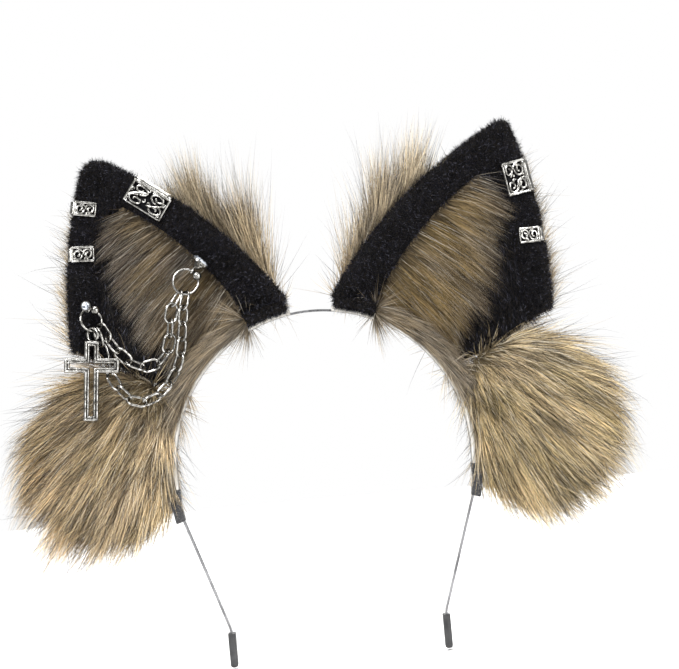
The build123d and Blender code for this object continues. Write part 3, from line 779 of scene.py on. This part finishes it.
for cloth in (PLUSH_PILE, PLUSH_CLOTH, BLACK_FELT):
    cloth.node_tree.nodes["Principled BSDF"].inputs["Specular IOR Level"].default_value = 0.08

TAN = (0.34, 0.25, 0.14)
GOLD = (0.44, 0.31, 0.11)
BEIGE = (0.50, 0.40, 0.25)
OLIVE = (0.29, 0.24, 0.11)
GREY = (0.22, 0.20, 0.18)
CHARCOAL = (0.022, 0.020, 0.021)
PLUM = (0.060, 0.036, 0.036)
RUST = (0.42, 0.25, 0.12)
CREAM = (0.62, 0.56, 0.46)
BLACK = (0.0035, 0.0035, 0.0045)


# ---------------------------------------------------------------- hoop

HOOP_R = 65.0
SLEEVE_TOP = -8.0


def hoop_line(start_degrees, end_z, count):
    """Points down the right half of the hoop, with the outward direction at each."""
    arc = radians(start_degrees) * HOOP_R
    far = np.linspace(0, arc - end_z, count)
    angle = np.maximum(arc - far, 0) / HOOP_R
    below = np.minimum(arc - far, 0)
    outward = np.stack([np.cos(angle), np.sin(angle)], 1)
    return outward * HOOP_R + np.stack([np.zeros(count), below], 1), outward


def along_hoop(name, start_degrees, end_z, section, material, side, count=90):
    """A closed strip along the hoop. section gives its outline, out from the band and front to back."""
    line, outward = hoop_line(start_degrees, end_z, count)
    loops = []
    for k in range(count):
        outline = np.asarray(section(k / (count - 1)), float)
        flat = line[k] + outline[:, :1] * outward[k]
        loops.append(np.stack([flat[:, 0], outline[:, 1], flat[:, 1]], 1))
    around = len(loops[0])
    piece = as_piece(name, np.concatenate(loops), loops_joined(count, around), material, side)
    outward_faces(piece)
    return piece


def rounded_section(low, high, front, back, around=20, squareness=4.0):
    """A rounded rectangle between two distances out from the band and two depths."""
    angle = np.linspace(0, 2 * pi, around, endpoint=False)
    wide = np.sign(np.cos(angle)) * np.abs(np.cos(angle)) ** (2 / squareness)
    deep = np.sign(np.sin(angle)) * np.abs(np.sin(angle)) ** (2 / squareness)
    return np.stack([(low + high) / 2 + (high - low) / 2 * wide, (front + back) / 2 + (back - front) / 2 * deep], 1)


def finish_nodes():
    """Give the CAD pieces that stay their finishes."""
    finishes = {"hoop_crown": STEEL, "chain_short": SILVER, "chain_long": SILVER, "cross_pendant": SILVER}
    for side_name in SIDES:
        finishes |= {
            f"leg_{side_name}": STEEL,
            f"tip_cap_{side_name}": RUBBER,
            f"shrink_sleeve_{side_name}": SLEEVE,
            f"ear_core_{side_name}": BLACK_FELT,
            f"ear_wire_{side_name}": STEEL,
        }
    for stud in ("upper", "lower"):
        finishes |= {
            f"{stud}_ring": SILVER, f"{stud}_bead": SILVER, f"{stud}_stud": SILVER,
            f"{stud}_gem": CRYSTAL, f"{stud}_clutch": CLUTCH,
        }
    for name, material in finishes.items():
        for slot in nodes[name].material_slots:
            slot.material = material


# ---------------------------------------------------------------- ears

def declare(piece, slot, *replaced):
    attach(piece, "root")
    if replaced:
        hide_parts(*replaced)


def declare_cloth(outline):
    """Take a sewn panel's outline as an array; nothing more is done with it."""
    outline = np.asarray(outline)


def ear_base_line(start, end, count):
    """Points along the ear's foot between two angles, in degrees."""
    ends = (on_circle(BASE_R, degrees) for degrees in (start, (start + end) / 2, end))
    return arc_through(*ends, count)


def ear_pattern(side_name):
    """The whole ear's outline seen from the front."""
    outer, _ = ear_edges(side_name, 90)
    hem = spaced(np.array([TOE, HEM_END]), 14)[1:-1]
    return np.concatenate([outer, hem, ear_base_line(HEM_DEGREES, HEEL_DEGREES, 24)[:-1]])


CUFFS = {
    "cuff_large_left": ("left", (64.2, 124.3), 37.0, 18.3, 10.2),
    "cuff_small_upper_left": ("left", (99.4, 119.5), -80.0, 5.5, 9.0),
    "cuff_small_lower_left": ("left", (101.9, 99.0), -88.0, 6.0, 9.0),
    "cuff_large_right": ("right", (99.8, 116.0), -81.0, 14.0, 9.0),
    "cuff_small_right": ("right", (102.6, 89.5), -90.0, 6.0, 8.0),
}


def under_cuff(points, side_name, margin=0.3):
    """True where a point lies under one of an ear's cuffs."""
    covered = np.zeros(len(points), bool)
    for side, place, direction, length, depth in CUFFS.values():
        if side != side_name:
            continue
        run = np.array([cos(radians(direction)), sin(radians(direction))])
        inward = np.array([run[1], -run[0]])
        rest = points[:, (0, 2)] - place
        covered |= (np.abs(rest @ run) < length / 2 + margin) & (rest @ inward < depth + margin)
    return covered


def make_border(side_name):
    """Black plush border: a soft roll over the ear's edge that narrows to a seam at its inner edge."""
    side = SIDES[side_name]
    outer, inner = ear_edges(side_name)
    run = np.gradient(outer, axis=0)
    run /= np.hypot(*run.T)[:, None]
    out = np.stack([-run[:, 1], run[:, 0]], 1)
    section = [
        (0.00, 0.15, 73.9), (0.00, 0.7, 73.6), (0.00, 1.2, 72.4), (0.00, 1.3, 70.6), (0.00, 1.1, 68.6),
        (0.00, 0.5, 67.2), (0.05, 0.0, 66.5), (0.12, 0.0, 66.2), (0.22, 0.0, 66.0), (0.34, 0.0, 66.0),
        (0.46, 0.0, 66.0), (0.58, 0.0, 66.0), (0.70, 0.0, 66.1), (0.82, 0.0, 66.4), (0.92, 0.0, 66.9),
        (0.98, 0.0, 67.6), (1.00, 0.0, 68.6), (0.97, 0.0, 68.95), (0.50, 0.0, 68.98), (0.10, 0.0, 69.0),
        (0.00, 0.15, 69.4), (0.00, 0.15, 71.6),
    ]
    loops = []
    for k in range(len(outer)):
        flat = np.array([outer[k] + (inner[k] - outer[k]) * v + out[k] * o for v, o, _ in section])
        radius = np.array([r for _, _, r in section])
        loops.append(np.stack([flat[:, 0], cup_y(flat[:, 0], flat[:, 1], radius), flat[:, 1]], 1))
    points = np.concatenate(loops)
    border = as_piece(
        f"border_cloth_{side_name}", points, loops_joined(len(outer), len(section)), PLUSH_CLOTH, side
    )
    outward_faces(border)
    shown = np.tile([1.0] * 17 + [0.0] * 5, len(outer))
    growth = np.where(under_cuff(points, side_name), 0.0, shown)
    tone = ripple(points, 22.0, 1.0 + side)
    coat = blend_colours([1.2 + tone, 0.5 - tone], [BLACK, (0.008, 0.008, 0.012)])
    comb = np.tile((0.25, 0.0, -0.25), (len(points), 1))
    furred(border, side, comb, 1.0, growth, coat)
    pile = grow(
        f"border_pile_{side_name}", border, 15500, 11 + side, 2.9, PLUSH_PILE, Segments=2, Thickness=0.14,
        Lift=0.9, Spray=0.75, Curl=0.35, Droop=0.0, **{"Lock Size": 2.2, "Lock Pull": 0.4, "Settle": 0.1},
    )
    declare(border, "black_plush", f"ear_border_{side_name}")
    declare(pile, "black_plush")


def make_lining(side_name):
    """Black plush lining, which shows as a dark patch at the ear's lower outer side."""
    side = SIDES[side_name]
    outline = ear_pattern(side_name)
    shell = pattern_shell(outline, EAR_MIDDLE, LINING_FRONT_R, CORE_FRONT_R, 12, 0.1)
    lining, points, _, front = sewn_panel(f"lining_cloth_{side_name}", shell, PLUSH_CLOTH, side)
    x, z = points[:, 0], points[:, 2]
    patch = (x > 58) & (z < 118) & front
    comb = np.stack([0.35 + 0 * x, 0 * x, -0.9 + 0 * x], 1)
    coat = blend_colours([1 + 0 * x, 0.4 + 0.4 * ripple(points, 18.0, 2.0)], [BLACK, (0.010, 0.010, 0.012)])
    furred(lining, side, comb, 1.0, patch.astype(float), coat)
    pile = grow(
        f"lining_pile_{side_name}", lining, 5000, 31 + side, 6.0, PLUSH_PILE, Segments=3, Thickness=0.17,
        Lift=0.5, Spray=0.35, Curl=0.25, **{"Lock Size": 4.0, "Lock Pull": 0.4},
    )
    declare(lining, "black_plush", f"ear_lining_{side_name}")
    declare_cloth(outline)
    declare(pile, "black_plush")


def fluff_pattern():
    medial = arc_through(INNER_FOOT, (54.8, 99.7), (78.5, 118.3), 40)
    upper = round_corner((78.5, 118.3), (83.0, 118.0), (80.0, 104.0), 8)[1:]
    lateral = arc_through((80.0, 104.0), (70.0, 72.0), (62.5, 39.0), 24)[1:]
    return np.concatenate([medial, upper, lateral, ear_base_line(HEM_DEGREES + 2, INNER_FOOT_DEGREES, 20)[:-1]])


def flow_in_ear(x, z):
    """Lie of the inner fluff seen from the front: away from the medial border, and down along the hoop."""
    fall = np.interp(z, [35, 55, 75, 95, 118], [72, 60, 48, 40, 30])
    near_hoop = np.clip((77.0 - np.hypot(x, z)) / 8.0, 0, 1)
    along = np.degrees(np.arctan2(x, z))
    angle = np.radians(fall * (1 - near_hoop) + np.clip(along, 20, 85) * near_hoop)
    return np.cos(angle), -np.sin(angle)


def make_fluff(side_name):
    """Long tan fluff inside the ear, dark and pale at its tips, over the black lining."""
    side = SIDES[side_name]
    outline = fluff_pattern()
    shell = pattern_shell(outline, FLUFF_MIDDLE, FLUFF_FRONT_R, LINING_FRONT_R, 12, 0.2)
    fluff, points, reach, front = sewn_panel(f"fluff_cloth_{side_name}", shell, TAN_UNDERFUR, side)
    x, z = points[:, 0], points[:, 2]
    right, up = flow_in_ear(x, z)
    comb = np.stack([right, 0 * x, up], 1)
    lateral = np.clip((x - (50.0 + 0.24 * (z - 60.0))) / 18.0, 0, 1)
    low = np.clip((62.0 - z) / 20.0, 0, 1)
    wander = ripple(points, 24.0, 0.6 * side)
    warm, grey = (0.9, 0.25) if side > 0 else (0.45, 0.75)
    streak = np.clip(ripple(points, 15.0, 0.9 + side) * 1.6, 0, 1)
    coat = blend_colours(
        [0.5 + 0.4 * wander, warm * (1 - lateral) * (0.9 + wander), grey * (0.6 - 0.5 * wander) + 0.3 * low,
         2.0 * lateral**2, 0.30 * lateral, (0.5 if side > 0 else 1.6) * streak * (0.3 + lateral)],
        [TAN, GOLD, GREY, CHARCOAL, CREAM, PLUM],
    ) * (0.52, 0.50, 0.47)
    patch = np.clip((x - 47.0) / 8.0, 0, 1) * np.clip((72.0 - z) / 12.0, 0, 1)
    growth = (front & (reach < 0.99)) * (1.0 - 0.55 * lateral) * (1.0 - 0.8 * patch)
    furred(fluff, side, comb, (1.0 - 0.15 * low) * (1.0 - 0.25 * lateral) * (1.0 - 0.3 * patch), growth, coat)
    hairs = grow(
        f"fluff_hair_{side_name}", fluff, 9200, 51 + side, 25.0, INNER_FUR, Segments=3, Thickness=0.15, Lift=0.34,
        Spray=0.10, Curl=0.07, Droop=0.03, **{"Lock Size": 4.5, "Lock Pull": 0.5, "Settle": 0.15},
    )
    declare(fluff, "tan_fur", f"ear_fluff_{side_name}")
    declare_cloth(outline)
    declare(hairs, "tan_fur")


def make_back(side_name):
    """Fur panel on the back, combed upwards, with a long pale tuft behind the medial edge."""
    side = SIDES[side_name]
    outline = ear_pattern(side_name)
    shell = pattern_shell(outline, EAR_MIDDLE, BACK_CLOTH_R, BACK_R, 14, 0.3)
    back, points, _, front = sewn_panel(f"ear_back_{side_name}", shell, TAN_UNDERFUR, side)
    x, z = points[:, 0], points[:, 2]
    sideways = np.interp(x - 0.45 * z, [-50, 10, 50], [-0.05, 0.25, 0.85])
    comb = np.stack([sideways, 0 * x, 1.0 - 0.3 * np.abs(sideways)], 1)
    height = np.clip((z - 60.0) / 75.0, 0, 1)
    shorter = np.interp(height, [0, 0.45, 0.8, 1.0], [1.0, 0.8, 0.42, 0.25])
    wander = ripple(points, 30.0, 0.4 + side)
    coat = blend_colours([0.6 + 0.4 * wander, 0.4 - 0.4 * wander, 0.5 * height, 0.8 * height**2],
                         [TAN, BEIGE, GREY, CHARCOAL])
    furred(back, side, comb, shorter, ~front * 1.0, coat)
    hairs = grow(
        f"back_hair_{side_name}", back, 7800, 71 + side, 17.0, LONG_FUR, Segments=3, Thickness=0.18, Lift=0.3,
        Spray=0.14, Curl=0.1, **{"Lock Size": 5.0, "Lock Pull": 0.4},
    )
    stray = grow(
        f"back_stray_hair_{side_name}", back, 1500, 221 + side, 28.0, LOOSE, Thickness=0.14, Lift=0.45, Spray=0.6,
        Curl=0.25, **{"Lock Pull": 0.1},
    )
    declare(stray, "tan_fur")
    declare(back, "tan_fur", f"ear_back_fur_{side_name}")
    declare_cloth(outline)
    declare(hairs, "tan_fur")

    medial = arc_through(HEEL, (46.0, 109.3), TIP, 60)[3:36]
    strip = np.concatenate([medial + (0.3, -0.3), (medial + (5.0, -6.5))[::-1]])
    shell = pattern_shell(strip, strip.mean(0) + (0.0, 1.0), BACK_R + 0.1, BACK_R + 2.0, 4, 0.3)
    tuft, points, reach, front = sewn_panel(f"tuft_cloth_{side_name}", shell, PALE_UNDERFUR, side)
    x, z = points[:, 0], points[:, 2]
    comb = np.stack([0.05 + 0.006 * (z - 70), -0.12 + 0 * x, 1 + 0 * x], 1)
    longer = np.interp(z, [68, 84, 100, 118], [0.75, 1.0, 0.9, 0.45]) * (0.85 + 0.25 * ripple(points, 9.0, side))
    coat = blend_colours([1.0 + 0 * x, 0.3 + 0.3 * ripple(points, 12.0, 1.0), 0.9 * (z < 98)], [BEIGE, CREAM, TAN])
    growth = (~front & (reach < 0.99)) * np.interp(z, [68, 80, 105, 118], [0.7, 1.0, 0.7, 0.25])
    furred(tuft, side, comb, longer, growth, coat)
    wisps = grow(
        f"tuft_hair_{side_name}", tuft, 4600, 91 + side, 47.0, WISPS, Segments=3, Thickness=0.15, Lift=0.12,
        Spray=0.18, Curl=0.12, Droop=-0.05,
        **{"Lock Size": 7.0, "Lock Pull": 0.6, "Lock Variety": 0.9, "Shortest Share": 0.25},
    )
    whiskers = grow(
        f"tuft_stray_hair_{side_name}", tuft, 700, 241 + side, 52.0, LOOSE, Thickness=0.12, Lift=0.2, Spray=0.3,
        Curl=0.22, Droop=-0.05, **{"Lock Pull": 0.1, "Shortest Share": 0.5},
    )
    declare(whiskers, "pale_fur")
    declare(tuft, "pale_fur", f"ear_back_tuft_{side_name}")
    declare(wisps, "pale_fur")


# ---------------------------------------------------------------- hoop covering and side puffs

def on_hoop(piece, side):
    """Right-hand points of a strip on the hoop, how far round it each one lies, and a wandering tone."""
    points = np.array([v.co[:] for v in piece.data.vertices]) / MM * (side, 1, 1)
    return points, np.maximum(np.arctan2(points[:, 2], points[:, 0]), 0), ripple(points, 18.0, 0.8 * side)


def make_covering(side_name):
    """The wrap round the band, the ear's foot, its plush heel, and the fur strip that runs on down the hoop."""
    side = SIDES[side_name]
    wrap = along_hoop(
        f"wrap_{side_name}", 82.0, SLEEVE_TOP,
        lambda share: rounded_section(-0.42, 1.95 - 0.9 * max(0.0, share - 0.93) / 0.07, -3.5, 3.5), BACKING, side,
    )
    declare(wrap, "wrap_fabric", f"hoop_wrap_{side_name}")

    def foot_section(share):
        front = np.interp(share, [0, 0.25, 0.6, 1.0], [-12.6, -11.5, -8.5, -6.5])
        return rounded_section(2.1, 6.2, front, 8.0, 28)

    foot = along_hoop(
        f"ear_foot_{side_name}", 65.5, HOOP_R * radians(27.0), lambda share: foot_section(0.28 + 0.72 * share),
        TAN_UNDERFUR, side, 50,
    )
    points, angle, wander = on_hoop(foot, side)
    comb = np.stack([np.sin(angle) + 0.12, -0.15 + 0 * angle, -np.cos(angle)], 1)
    coat = blend_colours([0.6 + 0.5 * wander, 0.5 - 0.4 * wander, 0.35 + 0 * wander], [TAN, GREY, BEIGE]) * 0.6
    furred(foot, side, comb, 1.0, 1.0, coat)
    hairs = grow(
        f"base_hair_{side_name}", foot, 6400, 111 + side, 18.0, INNER_FUR, Segments=3, Thickness=0.15, Lift=0.18,
        Spray=0.10, Curl=0.07, **{"Lock Size": 4.0, "Lock Pull": 0.45},
    )
    heel = along_hoop(
        f"ear_heel_{side_name}", 80.3, HOOP_R * radians(65.6), lambda share: foot_section(0.28 * share),
        PLUSH_CLOTH, side, 24,
    )
    count = len(heel.data.vertices)
    furred(heel, side, np.tile((0.3, -0.2, -0.2), (count, 1)), 1.0, 1.0, np.tile(BLACK, (count, 1)))
    pile = grow(
        f"heel_pile_{side_name}", heel, 3600, 211 + side, 3.2, PLUSH_PILE, Segments=2, Thickness=0.14, Lift=0.8,
        Spray=0.7, Curl=0.3, Droop=0.0, **{"Lock Size": 2.2, "Settle": 0.1},
    )
    declare(foot, "felt", f"ear_base_{side_name}")
    declare(hairs, "tan_fur")
    declare(heel, "felt", f"ear_base_{side_name}")
    declare(pile, "black_plush")

    strip = along_hoop(
        f"hoop_fur_{side_name}", 31.0, SLEEVE_TOP - 1.0, lambda share: rounded_section(2.1, 4.0, -4.2, 4.2, 16),
        TAN_UNDERFUR, side, 40,
    )
    points, angle, wander = on_hoop(strip, side)
    comb = np.stack([np.sin(angle) + 0.25, -0.05 + 0 * angle, -np.cos(angle)], 1)
    coat = blend_colours([0.6 + 0.5 * wander, 0.7 - 0.5 * wander, 0.5 + 0 * wander], [TAN, GREY, BEIGE])
    furred(strip, side, comb, np.interp(points[:, 2], [-12, 0, 30], [0.6, 0.9, 1.0]), 1.0, coat)
    hairs = grow(
        f"hoop_fur_hair_{side_name}", strip, 2600, 131 + side, 17.0, LONG_FUR, Segments=3, Thickness=0.16,
        Lift=0.14, Spray=0.10, Curl=0.06, **{"Lock Size": 4.0, "Lock Pull": 0.35},
    )
    declare(strip, "tan_fur")
    declare(hairs, "tan_fur")


PUFF_CENTRE = np.array([91.0, 4.0, 12.0])
PUFF_HALF = np.array([31.0, 13.0, 33.0])


def make_puff(side_name, rings=36, around=64):
    """Round side puff: a stuffed body under long hair that lies outwards and down from the ear's hem."""
    side = SIDES[side_name]
    points = [PUFF_CENTRE + PUFF_HALF * (0, -1, 0)]
    for ring in range(1, rings):
        polar = pi * ring / rings
        angle = np.linspace(0, 2 * pi, around, endpoint=False)
        shape = np.stack([np.cos(angle) * sin(polar), -cos(polar) + 0 * angle, np.sin(angle) * sin(polar)], 1)
        points += list(PUFF_CENTRE + PUFF_HALF * shape)
    points.append(PUFF_CENTRE + PUFF_HALF * (0, 1, 0))
    points = np.array(points)
    from_hoop = np.hypot(points[:, 0], np.maximum(points[:, 2], 0))
    push = np.maximum(69.5 - from_hoop, 0) / from_hoop
    points[:, 0] += points[:, 0] * push
    points[:, 2] += np.maximum(points[:, 2], 0) * push
    hem = np.array(TOE) - HEM_END
    hem /= np.hypot(*hem)
    above = -(points[:, 0] - HEM_END[0]) * hem[1] + (points[:, 2] - HEM_END[1]) * hem[0]
    over = np.maximum(above + 1.0, 0)
    points[:, 0] += over * hem[1]
    points[:, 2] -= over * hem[0]
    points += 0.5 * ripple(points, 17.0, side)[:, None] * (0, 1, 0)
    faces = []
    for j in range(around):
        k = (j + 1) % around
        faces.append((0, 1 + j, 1 + k))
        last = 1 + (rings - 2) * around
        faces.append((len(points) - 1, last + k, last + j))
        for ring in range(rings - 2):
            a, b = 1 + ring * around, 1 + (ring + 1) * around
            faces.append((a + j, b + j, b + k, a + k))
    body = as_piece(f"puff_body_{side_name}", points, faces, TAN_UNDERFUR, side)
    outward_faces(body)

    x, y, z = points.T
    swing = 4.0 * ripple(points, 40.0, 1.5 * side)
    fall = np.radians(np.clip(50.0 - 0.6 * (x - 90.0) - 0.4 * (z - 10.0) + swing, 12, 84))
    comb = np.stack([np.cos(fall), 0 * x, -np.sin(fall)], 1)
    wander = ripple(points, 34.0, 0.8 * side)
    second = ripple(points, 21.0, 2.2 - side)
    outer = np.clip((x - 95.0) / 30.0, 0, 1)
    top = np.clip((z - 22.0) / 25.0, 0, 1)
    coat = blend_colours(
        [0.8 + 0.5 * wander, 0.45 - 0.5 * wander, 0.4 + 0.5 * second, 0.3 + 0.4 * outer * (1 + second), 0.5 * top],
        [BEIGE, OLIVE, TAN, RUST if side < 0 else GOLD, GREY],
    ) * 1.28
    low = np.clip((0.0 - z) / 25.0, 0, 1)
    reach = 0.8 + 0.15 * outer + 0.35 * low + 0.12 * second
    reach *= np.interp(x, [66, 80, 100], [0.6, 0.85, 1.0])
    furred(body, side, comb, reach, np.interp(y, [-8, 12], [1.0, 0.6]), coat)
    length = 30.0 if side < 0 else 28.0
    habits = {"Lock Size": 8.0, "Lock Pull": 0.7, "Lock Variety": 0.8, "Settle": 0.3}
    under = grow(
        f"puff_hair_{side_name}", body, 11000, 151 + side, length * 0.95, LONG_FUR, Segments=3, Thickness=0.18,
        Lift=0.26, Spray=0.10, Curl=0.06, Droop=0.06, **(habits | {"Shortest Share": 0.4}),
    )
    guard = grow(
        f"puff_guard_hair_{side_name}", body, 6800, 171 + side, length * 1.35, GUARD_FUR, Segments=3,
        Thickness=0.15, Lift=0.34, Spray=0.13, Curl=0.08, Droop=0.08, **(habits | {"Shortest Share": 0.45}),
    )
    loose = grow(
        f"puff_loose_hair_{side_name}", body, 2200, 191 + side, length * 1.4, LOOSE, Segments=4, Thickness=0.14,
        Lift=0.6, Spray=0.45, Curl=0.22, Droop=0.02, **{"Shortest Share": 0.6, "Lock Pull": 0.1},
    )
    declare(body, "stuffing", f"puff_core_{side_name}", f"puff_fur_{side_name}")
    declare(under, "tan_fur")
    declare(guard, "tan_fur")
    declare(loose, "tan_fur")


# ---------------------------------------------------------------- cuffs

def wire(line, radius, sides=6):
    """Points and faces of a closed round wire along a line in space."""
    line = np.asarray(line, float)
    run = np.gradient(line, axis=0)
    run /= np.linalg.norm(run, axis=1)[:, None]
    side_dir = np.cross(run, (0.0, 1.0, 0.0))
    lost = np.linalg.norm(side_dir, axis=1) < 0.2
    side_dir[lost] = np.cross(run[lost], (1.0, 0.0, 0.0))
    side_dir /= np.linalg.norm(side_dir, axis=1)[:, None]
    over = np.cross(side_dir, run)
    angle = np.linspace(0, 2 * pi, sides, endpoint=False)
    ring = np.cos(angle)[None, :, None] * side_dir[:, None] + np.sin(angle)[None, :, None] * over[:, None]
    return (line[:, None] + radius * ring).reshape(-1, 3), loops_joined(len(line), sides)


def gathered(parts):
    """Several sets of points and faces as one."""
    points, faces, start = [], [], 0
    for part_points, part_faces in parts:
        points.append(part_points)
        faces += [tuple(start + v for v in face) for face in part_faces]
        start += len(part_points)
    return np.concatenate(points), faces


def scroll(centre, start, wind, reach, turns, count=26):
    """A flat scroll that winds inwards from a start angle, in degrees, and may be wider than it is tall."""
    share = np.linspace(0, 1, count)
    angle = radians(start) + turns * 2 * pi * share * wind
    radius = np.asarray(reach) * (1 - 0.74 * share[:, None])
    return centre + radius * np.stack([np.cos(angle), np.sin(angle)], 1)


def make_cuff(name, side_name, place, direction, length, depth):
    """A cuff of open scrollwork on the ear's front, closed round its edge by a plain band."""
    run = np.array([cos(radians(direction)), sin(radians(direction))])
    inward = np.array([run[1], -run[0]])

    def on_front(flat, radius=64.9):
        flat = np.asarray(flat, float)
        return on_cup(place + flat[:, :1] * run + flat[:, 1:] * inward, radius)

    half = length / 2
    parts = []
    rails = [
        ([(-half, 0.0), (half, 0.0)], 0.5), ([(-half, depth), (half, depth)], 0.45),
        ([(-half, -0.3), (-half, depth + 0.3)], 0.62), ([(half, -0.3), (half, depth + 0.3)], 0.62),
    ]
    for ends, radius in rails:
        parts.append(wire(on_front(spaced(np.array(ends), 14)), radius, 8))
    cells = 2 if length > 10 else 1
    cell = length / cells
    for k in range(cells):
        middle = -half + cell * (k + 0.5)
        wind = 1 if k % 2 else -1
        for level, start in ((depth * 0.26, 90), (depth * 0.74, -90)):
            reach = (cell * 0.44, depth * 0.22)
            parts.append(wire(on_front(scroll((middle, level), start, wind, reach, 1.3)), 0.55, 6))
            for hand in (-1, 1):
                bud = (middle + hand * cell * 0.36, level + hand * wind * depth * 0.12)
                reach = (cell * 0.11, depth * 0.09)
                parts.append(wire(on_front(scroll(bud, 90 * hand, -wind, reach, 0.8, 12)), 0.42, 6))
        bridge = round_corner((middle - cell * 0.44, depth * 0.26), (middle + wind * cell * 0.4, depth * 0.5),
                              (middle + cell * 0.44, depth * 0.74), 14)
        parts.append(wire(on_front(bridge), 0.5, 6))
    sections = [(0.9, 64.9), (-0.4, 64.9), (-1.3, 65.6), (-1.9, 67.2), (-1.9, 72.4), (-1.3, 74.4), (-0.3, 75.2),
                (depth * 0.5, 75.4), (depth * 0.85, 75.4)]
    sections = np.array(sections)
    slope = np.gradient(sections, axis=0)
    slope /= np.hypot(*slope.T)[:, None]
    inner = sections + 0.28 * np.stack([-slope[:, 1], slope[:, 0]], 1)
    outer = sections - 0.28 * np.stack([-slope[:, 1], slope[:, 0]], 1)
    outline = np.concatenate([inner, outer[::-1]])
    loops = []
    for s in np.linspace(-half, half, 9):
        flat = place + s * run + outline[:, :1] * inward
        loops.append(np.stack([flat[:, 0], cup_y(flat[:, 0], flat[:, 1], outline[:, 1]), flat[:, 1]], 1))
    parts.append((np.concatenate(loops), loops_joined(9, len(outline))))
    points, faces = gathered(parts)
    cuff = as_piece(f"open_{name}", points, faces, SILVER, SIDES[side_name])
    outward_faces(cuff)
    declare(cuff, "silver_alloy", name)


# ---------------------------------------------------------------- cross pendant

CROSS_PLACE = np.array([-94.95, -13.17, 62.98])
CROSS_LEAN = radians(6.0)
CROSS_TILT = radians(-5.2)
CROSS_FACE = 2.2
CROSS_TOP = -2.9
CROSS_H = 34.6
CROSS_ARMS = 23.6
CROSS_BAR = 6.2
CROSS_ARM_DROP = 10.6


def cross_outline(half_bar, trim):
    """The cross's outline with arms half_bar to each side of their middle line, trimmed at every end."""
    level, top = CROSS_TOP - CROSS_ARM_DROP, CROSS_TOP - trim
    foot, arm = CROSS_TOP - CROSS_H + trim, CROSS_ARMS / 2 - trim
    corners = [
        (0, top), (half_bar, top), (half_bar, level + half_bar), (arm, level + half_bar), (arm, level - half_bar),
        (half_bar, level - half_bar), (half_bar, foot), (-half_bar, foot), (-half_bar, level - half_bar),
        (-arm, level - half_bar), (-arm, level + half_bar), (-half_bar, level + half_bar), (-half_bar, top),
        (0, top),
    ]
    return spaced(np.array(corners), 240)


def on_cross(flat, ahead):
    """Points in space for points on the hanging pendant's face."""
    across = np.array([1.0, 0.0, 0.0])
    up = np.array([0.0, sin(CROSS_LEAN), cos(CROSS_LEAN)])
    facing = np.cross(across, up)
    tilted_across = across * cos(CROSS_TILT) + up * sin(CROSS_TILT)
    tilted_up = up * cos(CROSS_TILT) - across * sin(CROSS_TILT)
    return CROSS_PLACE + flat[:, :1] * tilted_across + flat[:, 1:] * tilted_up + ahead * facing


def make_cross_ridges():
    """Raised rims round the cross and round its slot."""
    parts = []
    for half_bar, trim, radius, ahead in ((CROSS_BAR / 2 - 0.55, 0.55, 0.6, 0.1), (1.42, 1.7, 0.42, 0.1)):
        parts.append(wire(on_cross(cross_outline(half_bar, trim), CROSS_FACE + ahead), radius, 8))
    points, faces = gathered(parts)
    ridges = as_piece("cross_ridges", points, faces, SILVER)
    outward_faces(ridges)
    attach(ridges, "cross")


# ---------------------------------------------------------------- the whole

make_camera()
make_light()
make_stage(stage_paint())
finish_nodes()
for name in SIDES:
    make_covering(name)
    make_lining(name)
    make_fluff(name)
    make_border(name)
    make_back(name)
    make_puff(name)
for name, settings in CUFFS.items():
    make_cuff(name, *settings)
make_cross_ridges()
